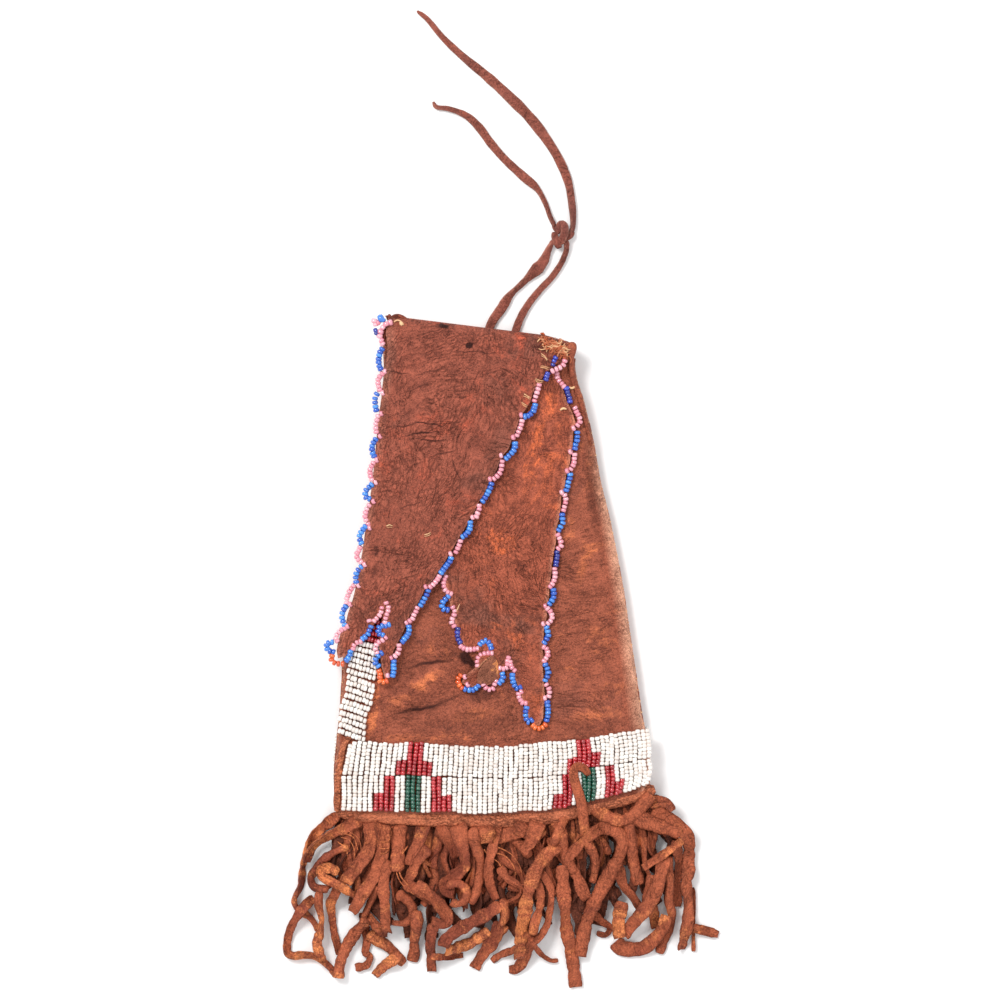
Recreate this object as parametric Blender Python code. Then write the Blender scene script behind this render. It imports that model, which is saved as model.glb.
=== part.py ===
"""Beaded hide paint pouch, lying on its back with both notched flaps folded over the front.

Run with: blender --background --python part.py
Metres, +Z up, +Y towards the mouth. The origin is on the table, under the middle of the pouch
and its fringe. The carrying thong reaches further up than that and is left out of the middle.
"""

import math

import bmesh
import bpy
from mathutils import Matrix, Vector

# Pouch
body_width = 0.120
body_length = 0.186
hide_thickness = 0.0010
paint_space = 0.0045
fit_gap = 0.0003
front_lip_setback = 0.0017
front_fold_radius = 0.00085
seam_width = 0.0010

# Beads
bead_diameter = 0.0018
bead_groove = 0.0007
string_reach = 0.0012
string_attach = 0.00045
scallop_length = 0.0068
tip_margin = 0.0036
left_notch_margin = 0.0078
right_notch_margin = 0.0132
strip_width = 0.0118
strip_row_pitch = 0.00175
band_columns = 64
lane_gap = 0.0004

# Cuts at the ends of the edge strings
over_left_start = 0.004
over_right_start = 0.005
under_left_start = 0.024
under_right_start = 0.004
over_apex = 3
under_apex = 4
loop_points = 3

# Welt and fringe
welt_width = 0.0072
welt_height = 0.0045
welt_drop = 0.0013
fringe_width = 0.165
fringe_length = 0.0665
fringe_left_overhang = 0.0197
fringe_gap = 0.0008
fringe_layer_gap = 0.0006
fringe_strip_width = 0.0044
fringe_sway = 0.0026
fringe_fall_length = 0.022
fringe_spread_length = 0.046
fringe_base_length = 0.0030
fringe_strips = 16
fringe_rows = 9
hook_width = 0.0040

# Thong
thong_diameter = 0.0024
knot_width = 0.0066
knot_length = 0.0112
knot_height = 0.0050
sinew_diameter = 0.0010

# Outlines, as shares of body_width and body_length from the pouch's bottom left corner
mouth_line_shares = ((0.156, 0.982), (0.768, 0.933))
left_side_shares = ((0.035, 0.328), (0.010, 0.159), (0.0, 0.082), (0.006, 0.0))
right_side_shares = ((0.790, 0.860), (0.818, 0.765), (0.842, 0.680), (0.872, 0.602), (0.911, 0.500),
                     (0.934, 0.400), (0.952, 0.296), (0.972, 0.204), (0.994, 0.133), (0.997, 0.045))
bottom_line_shares = ((0.006, 0.0), (0.222, -0.002), (0.456, -0.006), (0.689, 0.0), (0.844, 0.018),
                      (0.997, 0.045))
over_left_shares = ((0.162, 0.916), (0.140, 0.814), (0.123, 0.684), (0.092, 0.571), (0.063, 0.463),
                    (0.024, 0.370), (0.010, 0.316))
over_notch_shares = ((0.010, 0.316), (0.048, 0.335), (0.114, 0.398), (0.164, 0.431), (0.147, 0.385),
                     (0.136, 0.333), (0.156, 0.273))
over_right_shares = ((0.655, 0.880), (0.593, 0.814), (0.530, 0.727), (0.454, 0.635), (0.395, 0.562),
                     (0.333, 0.492), (0.232, 0.394), (0.192, 0.322), (0.156, 0.273))
under_left_shares = ((0.295, 0.765), (0.320, 0.620), (0.344, 0.482), (0.377, 0.403), (0.394, 0.361),
                     (0.399, 0.267))
under_notch_shares = ((0.399, 0.267), (0.443, 0.257), (0.501, 0.262), (0.530, 0.276), (0.551, 0.321),
                      (0.566, 0.285), (0.587, 0.239), (0.612, 0.197), (0.647, 0.176))
under_right_shares = ((0.748, 0.870), (0.768, 0.800), (0.752, 0.716), (0.733, 0.640), (0.702, 0.529),
                      (0.676, 0.435), (0.665, 0.365), (0.665, 0.262), (0.664, 0.215), (0.647, 0.176))
band_top_shares = ((0.044, 0.148), (0.094, 0.151), (0.186, 0.146), (0.335, 0.141), (0.556, 0.139),
                   (0.660, 0.148), (0.803, 0.155), (0.944, 0.171), (0.985, 0.173))
band_middle_shares = ((0.030, 0.082), (0.235, 0.080), (0.483, 0.074), (0.625, 0.074), (0.732, 0.082),
                      (0.803, 0.094), (0.908, 0.100), (0.987, 0.112))
band_bottom_shares = ((0.022, 0.009), (0.222, 0.007), (0.456, 0.004), (0.689, 0.009), (0.844, 0.033),
                      (0.985, 0.059))
hook_shares = ((0.800, 0.090), (0.783, 0.100), (0.764, 0.096), (0.761, 0.078), (0.771, 0.054),
               (0.781, 0.026), (0.787, 0.002))

# Places along those outlines
over_root_shares = (0.010, 0.930)
under_root_shares = (0.170, 0.930)
back_row_shares = (0.0, 0.018, 0.048, 0.085, 0.17, 0.28, 0.40, 0.52, 0.64, 0.72, 0.80, 0.90, 1.0)
mouth_rise_row_share = 0.085
band_rise_row_share = 0.80
flat_row_shares = (0.17, 0.72)
slit_row = 1
slit_columns = (8, 10)
panel_columns = 16
strip_end_shares = (0.02, 0.845)
fringe_hinge_shares = ((0.006, -0.010), (0.997, 0.018))
fringe_tip_shares = (0.80, 0.88, 0.84, 0.76, 0.86, 0.80, 0.90, 0.82, 0.74, 0.87, 0.80, 1.0, 0.78, 0.85,
                     0.80, 0.76)
fringe_reach_shares = (1.0, 0.95, 0.92)

# Steps and shares of the repeated shapes
fold_steps = 5
edge_steps = 48
flap_columns = 12
flap_rows = 16
hook_steps = 12
hook_fall_share = 0.87
loop_inset_share = 0.2
route_step_share = 2.5
stitch_shares = (0.05, 0.12)
stitch_angles = (50, 70, 88)
tip_string_angles = (-70, -35, 0, 35, 70)
welt_section_shares = (-0.97, -0.75, -0.35, 0.35, 0.75, 0.97)
sway_ease_power = 3

# Fringe layers from the table up: span along the welt, turns of sway, its start, first strip length
fringe_layers = (("fringe_lower_layer", (0.02, 0.93), 1.3, 0.0, 0),
                 ("fringe_middle_layer", (0.0, 1.0), 0.9, 0.5, 5),
                 ("fringe_upper_layer", (0.03, 0.88), 1.6, 0.2, 9))

# Band colours, as the first bead columns of each block and its colour
upper_lane_blocks = ((0, "white_left"), (13, "red_left"), (16, "white_middle"), (46, "red_right"),
                     (49, "white_right"))
lower_lane_blocks = ((0, "white_left"), (8, "red_outer_left"), (11, "white_inner_left"),
                     (13, "green_left"), (16, "white_inner_right"), (18, "red_outer_right"),
                     (21, "white_middle"), (45, "red_second_left"), (48, "white_second_left"),
                     (50, "green_right"), (53, "white_second_right"), (55, "red_second_right"),
                     (58, "white_right"))

# Thong route, chosen by hand
long_end_points = ((-0.0316, 0.2456, 0.0012), (-0.0276, 0.2424, 0.0012), (-0.0219, 0.2356, 0.0012),
                   (-0.0143, 0.2284, 0.0012), (-0.0051, 0.2208, 0.0012), (0.0029, 0.2135, 0.0012),
                   (0.0112, 0.2052, 0.0012), (0.0177, 0.1968, 0.0012), (0.0226, 0.1888, 0.0012),
                   (0.0260, 0.1805, 0.0013), (0.0272, 0.1721, 0.0019), (0.0247, 0.1660, 0.0024))
short_end_points = ((-0.0254, 0.2110, 0.0012), (-0.0242, 0.2089, 0.0012), (-0.0192, 0.2082, 0.0012),
                    (-0.0127, 0.2056, 0.0012), (-0.0078, 0.2010, 0.0012), (-0.0036, 0.1953, 0.0012),
                    (0.0021, 0.1888, 0.0012), (0.0088, 0.1826, 0.0012), (0.0140, 0.1780, 0.0013),
                    (0.0178, 0.1725, 0.0019), (0.0209, 0.1660, 0.0024))
left_strand_points = ((0.0211, 0.1547, 0.0024), (0.0178, 0.1499, 0.0017), (0.0127, 0.1454, 0.0012),
                      (0.0078, 0.1409, 0.0012), (0.0036, 0.1368, 0.0012), (0.0004, 0.1318, 0.0012),
                      (-0.0029, 0.1271, 0.0012), (-0.0051, 0.1216, 0.0012), (-0.0057, 0.1163, 0.0012),
                      (-0.0054, 0.1113, 0.0012))
right_strand_points = ((0.0245, 0.1549, 0.0024), (0.0236, 0.1495, 0.0017), (0.0199, 0.1441, 0.0012),
                       (0.0153, 0.1392, 0.0012), (0.0111, 0.1340, 0.0012), (0.0079, 0.1285, 0.0012),
                       (0.0058, 0.1227, 0.0012), (0.0046, 0.1166, 0.0012), (0.0036, 0.1105, 0.0012))
knot_middle = (0.0228, 0.1604, 0.0025)

# Colours as red, green, blue
hide_colour = (0.30, 0.10, 0.06)
flap_colour = (0.27, 0.11, 0.08)
fringe_colour = (0.42, 0.15, 0.07)
white_bead_colour = (0.88, 0.87, 0.83)
red_bead_colour = (0.50, 0.02, 0.03)
green_bead_colour = (0.02, 0.12, 0.07)
blue_bead_colour = (0.05, 0.16, 0.55)
pink_bead_colour = (0.80, 0.32, 0.40)
orange_bead_colour = (0.85, 0.18, 0.03)
sinew_colour = (0.62, 0.45, 0.26)
bead_roughness = 0.25
hide_roughness = 0.85

# Levels, from the table up
back_mouth_level = thong_diameter + fit_gap
back_band_level = bead_diameter + fit_gap
front_level = back_mouth_level + hide_thickness + paint_space
front_top = front_level + hide_thickness
lane_level = front_top + fit_gap
lane_top = lane_level + bead_diameter
under_flap_middle = front_top + fit_gap + bead_diameter / 2
over_flap_middle = lane_top + fit_gap + bead_diameter / 2
fold_bottom_middle = back_mouth_level + hide_thickness / 2
fold_radius = (over_flap_middle - fold_bottom_middle) / 2
fold_centre_level = fold_bottom_middle + fold_radius
welt_middle = (back_band_level + hide_thickness + front_level) / 2

# Place of the pouch's bottom left corner
mouth_top_share = mouth_line_shares[0][1]
crest_overhang = (mouth_top_share - 1) * body_length + fold_radius + hide_thickness / 2
total_length = fringe_length + body_length + crest_overhang
body_left = -fringe_width / 2 + fringe_left_overhang
body_bottom = -total_length / 2 + fringe_length


def place(shares):
    """Point on the table for a pair of shares of the pouch's width and length."""
    across, up = shares
    return Vector((body_left + across * body_width, body_bottom + up * body_length, 0))


def line_of(shares):
    """Points on the table for a table of shares."""
    return [place(pair) for pair in shares]


def line_length(line):
    """Length of a line of points."""
    return sum((end - start).length for start, end in zip(line, line[1:]))


def along(line, share):
    """Point at a share of a line's length."""
    target = share * line_length(line)
    for start, end in zip(line, line[1:]):
        step = (end - start).length
        if target <= step:
            return start.lerp(end, target / step)
        target -= step
    return line[-1].copy()


def trimmed(line, start_cut, end_cut, steps):
    """The line without its first and last stretch, read again at even steps."""
    length = line_length(line)
    first = start_cut / length
    last = 1 - end_cut / length
    return [along(line, first + (last - first) * step / steps) for step in range(steps + 1)]


def shifted(line, across, up=0):
    """The line moved along X and Y."""
    return [point + Vector((across, up, 0)) for point in line]


def raised(grid, level):
    """The same rows of points at one level."""
    return [[Vector((point.x, point.y, level)) for point in row] for row in grid]


def patch(top, bottom, left, right, columns, row_shares):
    """Rows of points that fill the space between four lines."""
    grid = []
    for down in row_shares:
        row = []
        for column in range(columns + 1):
            across = column / columns
            sides = along(left, down).lerp(along(right, down), across)
            ends = along(top, across).lerp(along(bottom, across), down)
            corners = top[0].lerp(top[-1], across).lerp(bottom[0].lerp(bottom[-1], across), down)
            row.append(sides + (ends - corners) * down)
        grid.append(row)
    return grid


def even_shares(count):
    """Shares from 0 to 1 in even steps."""
    return [step / count for step in range(count + 1)]


def finish_object(mesh_object, colour, roughness):
    """Give an object its own material."""
    material = bpy.data.materials.new(mesh_object.name)
    material.use_nodes = True
    shader = material.node_tree.nodes["Principled BSDF"]
    shader.inputs["Base Color"].default_value = (*colour, 1)
    shader.inputs["Roughness"].default_value = roughness
    shader.inputs["Metallic"].default_value = 0
    mesh_object.data.materials.append(material)


def add_body(name, under, upper, colour, roughness, open_cells=()):
    """One closed solid between two grids of points. open_cells names the cells left out."""
    columns = len(under[0])
    count = len(under) * columns
    cells = [(row, column) for row in range(len(under) - 1) for column in range(columns - 1)
             if (row, column) not in open_cells]
    faces = []
    borders = {}
    for row, column in cells:
        corners = [(row, column), (row + 1, column), (row + 1, column + 1), (row, column + 1)]
        loop = [corner_row * columns + corner_column for corner_row, corner_column in corners]
        faces.append(loop)
        faces.append([index + count for index in reversed(loop)])
        for start, end in zip(loop, loop[1:] + loop[:1]):
            if (end, start) in borders:
                del borders[(end, start)]
            else:
                borders[(start, end)] = True
    faces += [[end, start, start + count, end + count] for start, end in borders]
    points = [point for grid in (under, upper) for row in grid for point in row]
    mesh = bpy.data.meshes.new(name)
    mesh.from_pydata(points, [], faces)
    tidy = bmesh.new()
    tidy.from_mesh(mesh)
    loose = [vertex for vertex in tidy.verts if not vertex.link_faces]
    bmesh.ops.delete(tidy, geom=loose, context="VERTS")
    bmesh.ops.recalc_face_normals(tidy, faces=tidy.faces)
    tidy.to_mesh(mesh)
    tidy.free()
    body = bpy.data.objects.new(name, mesh)
    bpy.context.collection.objects.link(body)
    finish_object(body, colour, roughness)
    return body


def add_tube(name, points, diameter, resolution, colour, roughness):
    """A round tube with closed ends along a list of points."""
    curve = bpy.data.curves.new(name, "CURVE")
    curve.dimensions = "3D"
    curve.bevel_depth = diameter / 2
    curve.bevel_resolution = resolution
    curve.use_fill_caps = True
    spline = curve.splines.new("POLY")
    spline.points.add(len(points) - 1)
    for spline_point, point in zip(spline.points, points):
        spline_point.co = (*point, 1)
    tube = bpy.data.objects.new(name, curve)
    bpy.context.collection.objects.link(tube)
    finish_object(tube, colour, roughness)
    return tube


def smooth_route(points, step):
    """Points a step apart on the smooth curve through a route's own points."""
    route = [Vector(point) for point in points]
    ends = [route[0] * 2 - route[1]] + route + [route[-1] * 2 - route[-2]]
    smooth = []
    for before, start, end, after in zip(ends, ends[1:], ends[2:], ends[3:]):
        count = max(1, round((end - start).length / step))
        for part in range(count):
            t = part / count
            smooth.append(((2 * start) + (end - before) * t
                           + (2 * before - 5 * start + 4 * end - after) * t ** 2
                           + (3 * start - before - 3 * end + after) * t ** 3) / 2)
    smooth.append(route[-1])
    return smooth


mouth_line = line_of(mouth_line_shares)
mouth_along = (mouth_line[1] - mouth_line[0]).normalized()
mouth_out = Vector((-mouth_along.y, mouth_along.x, 0))
bottom_line = line_of(bottom_line_shares)
left_side = [mouth_line[0]] + line_of(left_side_shares)
right_side = [mouth_line[1]] + line_of(right_side_shares)


def back_level(row_share):
    """Height of the back panel's under side: raised over the beads, flat, raised at the mouth."""
    flat_start, flat_end = flat_row_shares
    if row_share <= mouth_rise_row_share:
        return back_mouth_level
    if row_share < flat_start:
        fall = (flat_start - row_share) / (flat_start - mouth_rise_row_share)
        return back_mouth_level * fall
    if row_share <= flat_end:
        return 0
    if row_share < band_rise_row_share:
        return back_band_level * (row_share - flat_end) / (band_rise_row_share - flat_end)
    return back_band_level


def panel_grid(top):
    """Rows of points over the pouch's outline, from a line at the mouth to the bottom."""
    return patch(top, bottom_line, left_side, right_side, panel_columns, back_row_shares)


def add_panels():
    """The two hide panels, with two slits for the thong in the back one."""
    grid = panel_grid(mouth_line)
    under = [[Vector((point.x, point.y, back_level(share))) for point in row]
             for share, row in zip(back_row_shares, grid)]
    upper = [[point + Vector((0, 0, hide_thickness)) for point in row] for row in under]
    slits = [(slit_row, column) for column in slit_columns]
    add_body("back_panel", under, upper, hide_colour, hide_roughness, slits)
    lip = [point - mouth_out * front_lip_setback for point in mouth_line]
    left = [lip[0]] + left_side[1:]
    right = [lip[1]] + right_side[1:]
    front = patch(lip, bottom_line, left, right, panel_columns, back_row_shares)
    add_body("front_panel", raised(front, front_level), raised(front, front_top), hide_colour,
             hide_roughness)


def add_side_seam(name, column, inward):
    """The sewn side of the pouch, between the two panels."""
    grid = panel_grid(mouth_line)
    under = []
    upper = []
    for share, row in list(zip(back_row_shares, grid))[1:-1]:
        outer = row[column] + Vector((inward * fit_gap, 0, 0))
        inner = outer + Vector((inward * seam_width, 0, 0))
        low = Vector((0, 0, back_level(share) + hide_thickness + fit_gap))
        high = Vector((0, 0, front_level - fit_gap))
        under.append([outer + low, inner + low])
        upper.append([outer + high, inner + high])
    add_body(name, under, upper, hide_colour, hide_roughness)


def arc_rows(centre_line, level, radius, angles):
    """Rows of points round a fold, one row for each angle above the outward direction."""
    rows = []
    for angle in angles:
        out = mouth_out * radius * math.cos(math.radians(angle))
        up = Vector((0, 0, level + radius * math.sin(math.radians(angle))))
        rows.append([point + out + up for point in centre_line])
    return rows


def add_fold(name, root_shares, setback, level, radius, colour):
    """The lower quarter of a fold of hide, which stays on the pouch."""
    first, last = root_shares
    line = [along(mouth_line, first + (last - first) * share) - mouth_out * setback
            for share in even_shares(panel_columns)]
    start_angle = -90 + math.degrees(fit_gap / radius)
    end_angle = -math.degrees(fit_gap / radius)
    angles = [start_angle + (end_angle - start_angle) * share for share in even_shares(fold_steps)]
    half = min(hide_thickness / 2, radius / 2)
    outer = arc_rows(line, level, radius + half, angles)
    inner = arc_rows(line, level, radius - half, angles)
    add_body(name, outer, inner, colour, hide_roughness)


def add_over_flap():
    """The back panel's flap: the upper quarter of the fold, then the notched sheet."""
    first, last = over_root_shares
    root = [along(mouth_line, first), along(mouth_line, last)]
    left = [root[0]] + line_of(over_left_shares)
    right = [root[1]] + line_of(over_right_shares)
    notch = line_of(over_notch_shares)
    sheet = patch(root, notch, left, right, flap_columns, even_shares(flap_rows))
    start_angle = math.degrees(fit_gap / fold_radius)
    angles = [start_angle + (90 - start_angle) * share for share in even_shares(fold_steps)][:-1]
    half = hide_thickness / 2
    outer = arc_rows(sheet[0], fold_centre_level, fold_radius + half, angles)
    inner = arc_rows(sheet[0], fold_centre_level, fold_radius - half, angles)
    upper = outer + raised(sheet, over_flap_middle + half)
    under = inner + raised(sheet, over_flap_middle - half)
    add_body("over_flap", under, upper, flap_colour, hide_roughness)
    return left, notch, right


def add_under_flap():
    """The front panel's flap, which hangs over the front under the other one."""
    first, last = under_root_shares
    setback = front_lip_setback + front_fold_radius / 2
    root = [along(mouth_line, share) - mouth_out * setback for share in (first, last)]
    left = [root[0]] + line_of(under_left_shares)
    right = [root[1]] + line_of(under_right_shares)
    notch = line_of(under_notch_shares)
    sheet = patch(root, notch, left, right, flap_columns, even_shares(flap_rows))
    half = hide_thickness / 2
    add_body("under_flap", raised(sheet, under_flap_middle - half),
             raised(sheet, under_flap_middle + half), flap_colour, hide_roughness)
    return left, notch, right


def bead_string(line, side, level):
    """Points of a string of beads that loops out from an edge and is sewn down between loops."""
    loops = max(1, round(line_length(line) / scallop_length))
    steps = loops * loop_points
    points = []
    for step in range(steps + 1):
        share = step / steps
        here = along(line, share)
        ahead = along(line, min(1, share + 1 / steps))
        behind = along(line, max(0, share - 1 / steps))
        run = (ahead - behind).normalized()
        out = Vector((run.y, -run.x, 0)) * side
        offset = bead_diameter / 2 + string_attach
        if step % loop_points:
            offset += string_reach
        points.append(here + out * offset + Vector((0, 0, level)))
    return points


def tip_string(tip, pointing, level):
    """Points of the short string of beads round the point of a tab."""
    radius = bead_diameter / 2 + string_attach
    across = Vector((-pointing.y, pointing.x, 0))
    points = []
    for angle in tip_string_angles:
        turn = math.radians(angle)
        points.append(tip + (pointing * math.cos(turn) + across * math.sin(turn)) * radius
                      + Vector((0, 0, level)))
    return points


def add_flap_beads(flap, lines, level, left_start, right_start, apex):
    """The beaded edge of one notched flap, in strings by side and tab."""
    left, notch, right = lines
    edges = (("left_beads", left, 1, left_start, tip_margin, blue_bead_colour),
             ("left_tab_beads", notch[:apex + 1], 1, tip_margin, left_notch_margin, pink_bead_colour),
             ("right_tab_beads", notch[apex:], 1, right_notch_margin, tip_margin, blue_bead_colour),
             ("right_beads", right, -1, right_start, tip_margin, pink_bead_colour))
    for name, line, side, start_cut, end_cut, colour in edges:
        edge = trimmed(line, start_cut, end_cut, edge_steps)
        add_tube(f"{flap}_{name}", bead_string(edge, side, level), bead_diameter, 1, colour,
                 bead_roughness)
    for name, tip, before, after in (("left_tip_beads", notch[0], left[-2], notch[1]),
                                     ("right_tip_beads", notch[-1], right[-2], notch[-2])):
        pointing = ((tip - before).normalized() + (tip - after).normalized()).normalized()
        add_tube(f"{flap}_{name}", tip_string(tip, pointing, level), bead_diameter, 1,
                 orange_bead_colour, bead_roughness)


def add_lane(name, upper_line, lower_line, shares, level, colour, faces_down=False):
    """Beads sewn side by side between two lines, with a ridge for each thread of beads."""
    first, last, threads = shares
    under = [[], []]
    upper = [[], []]
    for half_step in range(2 * threads + 1):
        share = first + (last - first) * half_step / (2 * threads)
        groove = 0 if half_step % 2 else bead_groove
        low = groove if faces_down else 0
        high = bead_diameter if faces_down else bead_diameter - groove
        for row, line in enumerate((upper_line, lower_line)):
            point = along(line, share)
            under[row].append(Vector((point.x, point.y, level + low)))
            upper[row].append(Vector((point.x, point.y, level + high)))
    add_body(name, under, upper, colour, bead_roughness)


def add_band_lane(lane, blocks, upper_line, lower_line):
    """One lane of the front band, a block of beads for each colour."""
    starts = [start for start, block in blocks] + [band_columns]
    margin = fit_gap / 2 / line_length(upper_line)
    for (start, block), end in zip(blocks, starts[1:]):
        colour = white_bead_colour
        if block.startswith("red"):
            colour = red_bead_colour
        if block.startswith("green"):
            colour = green_bead_colour
        shares = (start / band_columns + margin, end / band_columns - margin, end - start)
        add_lane(f"{lane}_{block}", upper_line, lower_line, shares, lane_level, colour)


def add_beadwork():
    """The two-lane band on the front and back, and the strip over the left seam."""
    top = line_of(band_top_shares)
    middle = line_of(band_middle_shares)
    bottom = line_of(band_bottom_shares)
    upper_end = shifted(middle, 0, lane_gap / 2)
    lower_start = shifted(middle, 0, -lane_gap / 2)
    add_band_lane("upper_lane", upper_lane_blocks, top, upper_end)
    add_band_lane("lower_lane", lower_lane_blocks, lower_start, bottom)
    whole = (0, 1, band_columns)
    add_lane("back_upper_lane", top, upper_end, whole, 0, white_bead_colour, True)
    add_lane("back_lower_lane", lower_start, bottom, whole, 0, white_bead_colour, True)
    strip_outer = shifted(left_side, fit_gap)
    strip_inner = shifted(left_side, fit_gap + strip_width)
    first, last = strip_end_shares
    threads = round((last - first) * line_length(left_side) / strip_row_pitch)
    add_lane("side_strip", strip_outer, strip_inner, (first, last, threads), lane_level,
             white_bead_colour)


def add_welt():
    """The rolled hide welt along the bottom seam."""
    under = []
    upper = []
    for share in even_shares(panel_columns):
        middle = along(bottom_line, share) - Vector((0, welt_drop, 0))
        low = []
        high = []
        for side in welt_section_shares:
            across = Vector((0, side * welt_width / 2, 0))
            rise = Vector((0, 0, welt_height / 2 * math.sqrt(1 - side ** 2)))
            low.append(middle + across - rise + Vector((0, 0, welt_middle)))
            high.append(middle + across + rise + Vector((0, 0, welt_middle)))
        under.append(low)
        upper.append(high)
    add_body("bottom_welt", under, upper, fringe_colour, hide_roughness)


def welt_edge(across):
    """Height on the table of the pouch's bottom line at a place across it."""
    for start, end in zip(bottom_line, bottom_line[1:]):
        if across <= end.x:
            break
    share = min(1, max(0, (across - start.x) / (end.x - start.x)))
    return start.lerp(end, share).y


def strip_downs(reach):
    """How far below the welt each row of a strip lies."""
    falls = [0, fringe_base_length, fringe_fall_length / 2, fringe_fall_length]
    free_rows = fringe_rows + 1 - len(falls)
    free = reach - fringe_fall_length
    return falls + [fringe_fall_length + free * row / free_rows for row in range(1, free_rows + 1)]


def add_fringe_layer(name, span_shares, layer, sway_turns, sway_start, tip_start):
    """One layer of fringe: a strip along the welt, cut into narrow strips."""
    first, last = span_shares
    base_drop = welt_drop + welt_width / 2 + fringe_gap
    layer_step = hide_thickness + fringe_layer_gap
    base_level = welt_middle - hide_thickness / 2 + (layer - 1) * layer_step
    rest_level = layer * layer_step
    columns = []
    for edge in range(2 * fringe_strips):
        strip, side = divmod(edge, 2)
        share = first + (last - first) * (strip + 0.5) / fringe_strips
        root = along(bottom_line, share) - Vector((0, base_drop, 0))
        tip_share = fringe_tip_shares[(strip + tip_start) % len(fringe_tip_shares)]
        reach = (root.y - body_bottom + fringe_length) * tip_share * fringe_reach_shares[layer]
        fan = (fringe_width - fringe_strip_width) * (share - 0.5) / (1 - 1 / fringe_strips)
        corner_share = min(1, max(0, share + (side - 0.5) * (last - first) / fringe_strips))
        corner = along(bottom_line, corner_share) - Vector((0, base_drop, 0))
        points = [corner + Vector((0, 0, base_level))]
        for down in strip_downs(reach)[1:]:
            turn = 2 * math.pi * (sway_turns * down / fringe_length + sway_start)
            spread = min(1, down / fringe_spread_length)
            edge_ease = 1 - abs(2 * share - 1) ** sway_ease_power
            sway = fringe_sway * math.sin(turn) * edge_ease
            centre = root.x + (fan - root.x) * spread + sway
            point = Vector((centre + (side - 0.5) * fringe_strip_width, root.y - down, 0))
            below = welt_edge(point.x) - base_drop - point.y
            fall = min(1, max(0, below / fringe_fall_length))
            point.z = base_level + (rest_level - base_level) * fall
            points.append(point)
        columns.append(points)
    under = [list(row) for row in zip(*columns)]
    upper = [[point + Vector((0, 0, hide_thickness)) for point in row] for row in under]
    gaps = [(row, 2 * strip + 1) for row in range(1, fringe_rows) for strip in range(fringe_strips - 1)]
    add_body(name, under, upper, fringe_colour, hide_roughness, gaps)


def add_hooked_strip():
    """The fringe strip that has flipped up and lies hooked over the band."""
    line = line_of(hook_shares)
    clear = lane_top + fit_gap
    welt_clear = welt_middle + welt_height / 2 + fit_gap
    under = []
    for share in even_shares(hook_steps):
        point = along(line, share)
        ahead = along(line, min(1, share + 1 / hook_steps))
        behind = along(line, max(0, share - 1 / hook_steps))
        run = (ahead - behind).normalized()
        side = Vector((run.y, -run.x, 0)) * hook_width / 2
        fall = max(0, (share - hook_fall_share) / (1 - hook_fall_share))
        level = Vector((0, 0, clear + (welt_clear - clear) * fall))
        under.append([point - side + level, point + side + level])
    upper = [[point + Vector((0, 0, hide_thickness)) for point in row] for row in under]
    add_body("hooked_strip", under, upper, fringe_colour, hide_roughness)


def add_thong():
    """The thong: laced through the back panel's slits, two strands, a knot and two loose ends."""
    step = route_step_share * thong_diameter
    routes = (("thong_long_end", long_end_points), ("thong_short_end", short_end_points),
              ("thong_left_strand", left_strand_points), ("thong_right_strand", right_strand_points))
    for name, points in routes:
        add_tube(name, smooth_route(points, step), thong_diameter, 2, hide_colour, hide_roughness)
    grid = panel_grid(mouth_line)
    centres = [(grid[slit_row][column] + grid[slit_row + 1][column + 1]) / 2 for column in slit_columns]
    low = Vector((0, 0, thong_diameter + fit_gap))
    bend = back_mouth_level + hide_thickness + fit_gap + thong_diameter / 2
    inset = (centres[1] - centres[0]) * loop_inset_share
    turn = Vector((0, 0, bend - thong_diameter / 2))
    high = Vector((0, 0, bend))
    loop = [centres[0] + low, centres[0] + turn, centres[0] + inset + high,
            centres[1] - inset + high, centres[1] + turn, centres[1] + low]
    add_tube("thong_lacing", loop, thong_diameter, 2, hide_colour, hide_roughness)
    bpy.ops.mesh.primitive_uv_sphere_add(segments=12, ring_count=8, radius=knot_width / 2,
                                         location=knot_middle)
    knot = bpy.context.object
    knot.name = "thong_knot"
    knot.scale = (1, knot_length / knot_width, knot_height / knot_width)
    bpy.ops.object.transform_apply(location=False, rotation=False, scale=True)
    knot.data.shade_smooth()
    finish_object(knot, hide_colour, hide_roughness)


def add_corner_stitch():
    """The sinew stitch that shows at the left end of the fold."""
    radius = fold_radius + hide_thickness / 2 + fit_gap + sinew_diameter / 2
    start, end = stitch_shares
    points = []
    for part, angle in enumerate(stitch_angles):
        share = start + (end - start) * part / (len(stitch_angles) - 1)
        rows = arc_rows([along(mouth_line, share)], fold_centre_level, radius, [angle])
        points.append(rows[0][0])
    add_tube("corner_stitch", points, sinew_diameter, 1, sinew_colour, hide_roughness)


def add_hinge(name, place_on_axis, pieces):
    """An empty on a joint's axis that carries the moving pieces."""
    hinge = bpy.data.objects.new(name, None)
    hinge.empty_display_size = bead_diameter
    hinge.location = place_on_axis
    bpy.context.collection.objects.link(hinge)
    for piece in pieces:
        piece.parent = hinge
        piece.matrix_parent_inverse = Matrix.Translation(-Vector(place_on_axis))


def named(start):
    """Every object whose name starts with the given words."""
    return [piece for piece in bpy.data.objects if piece.name.startswith(start)]


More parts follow.
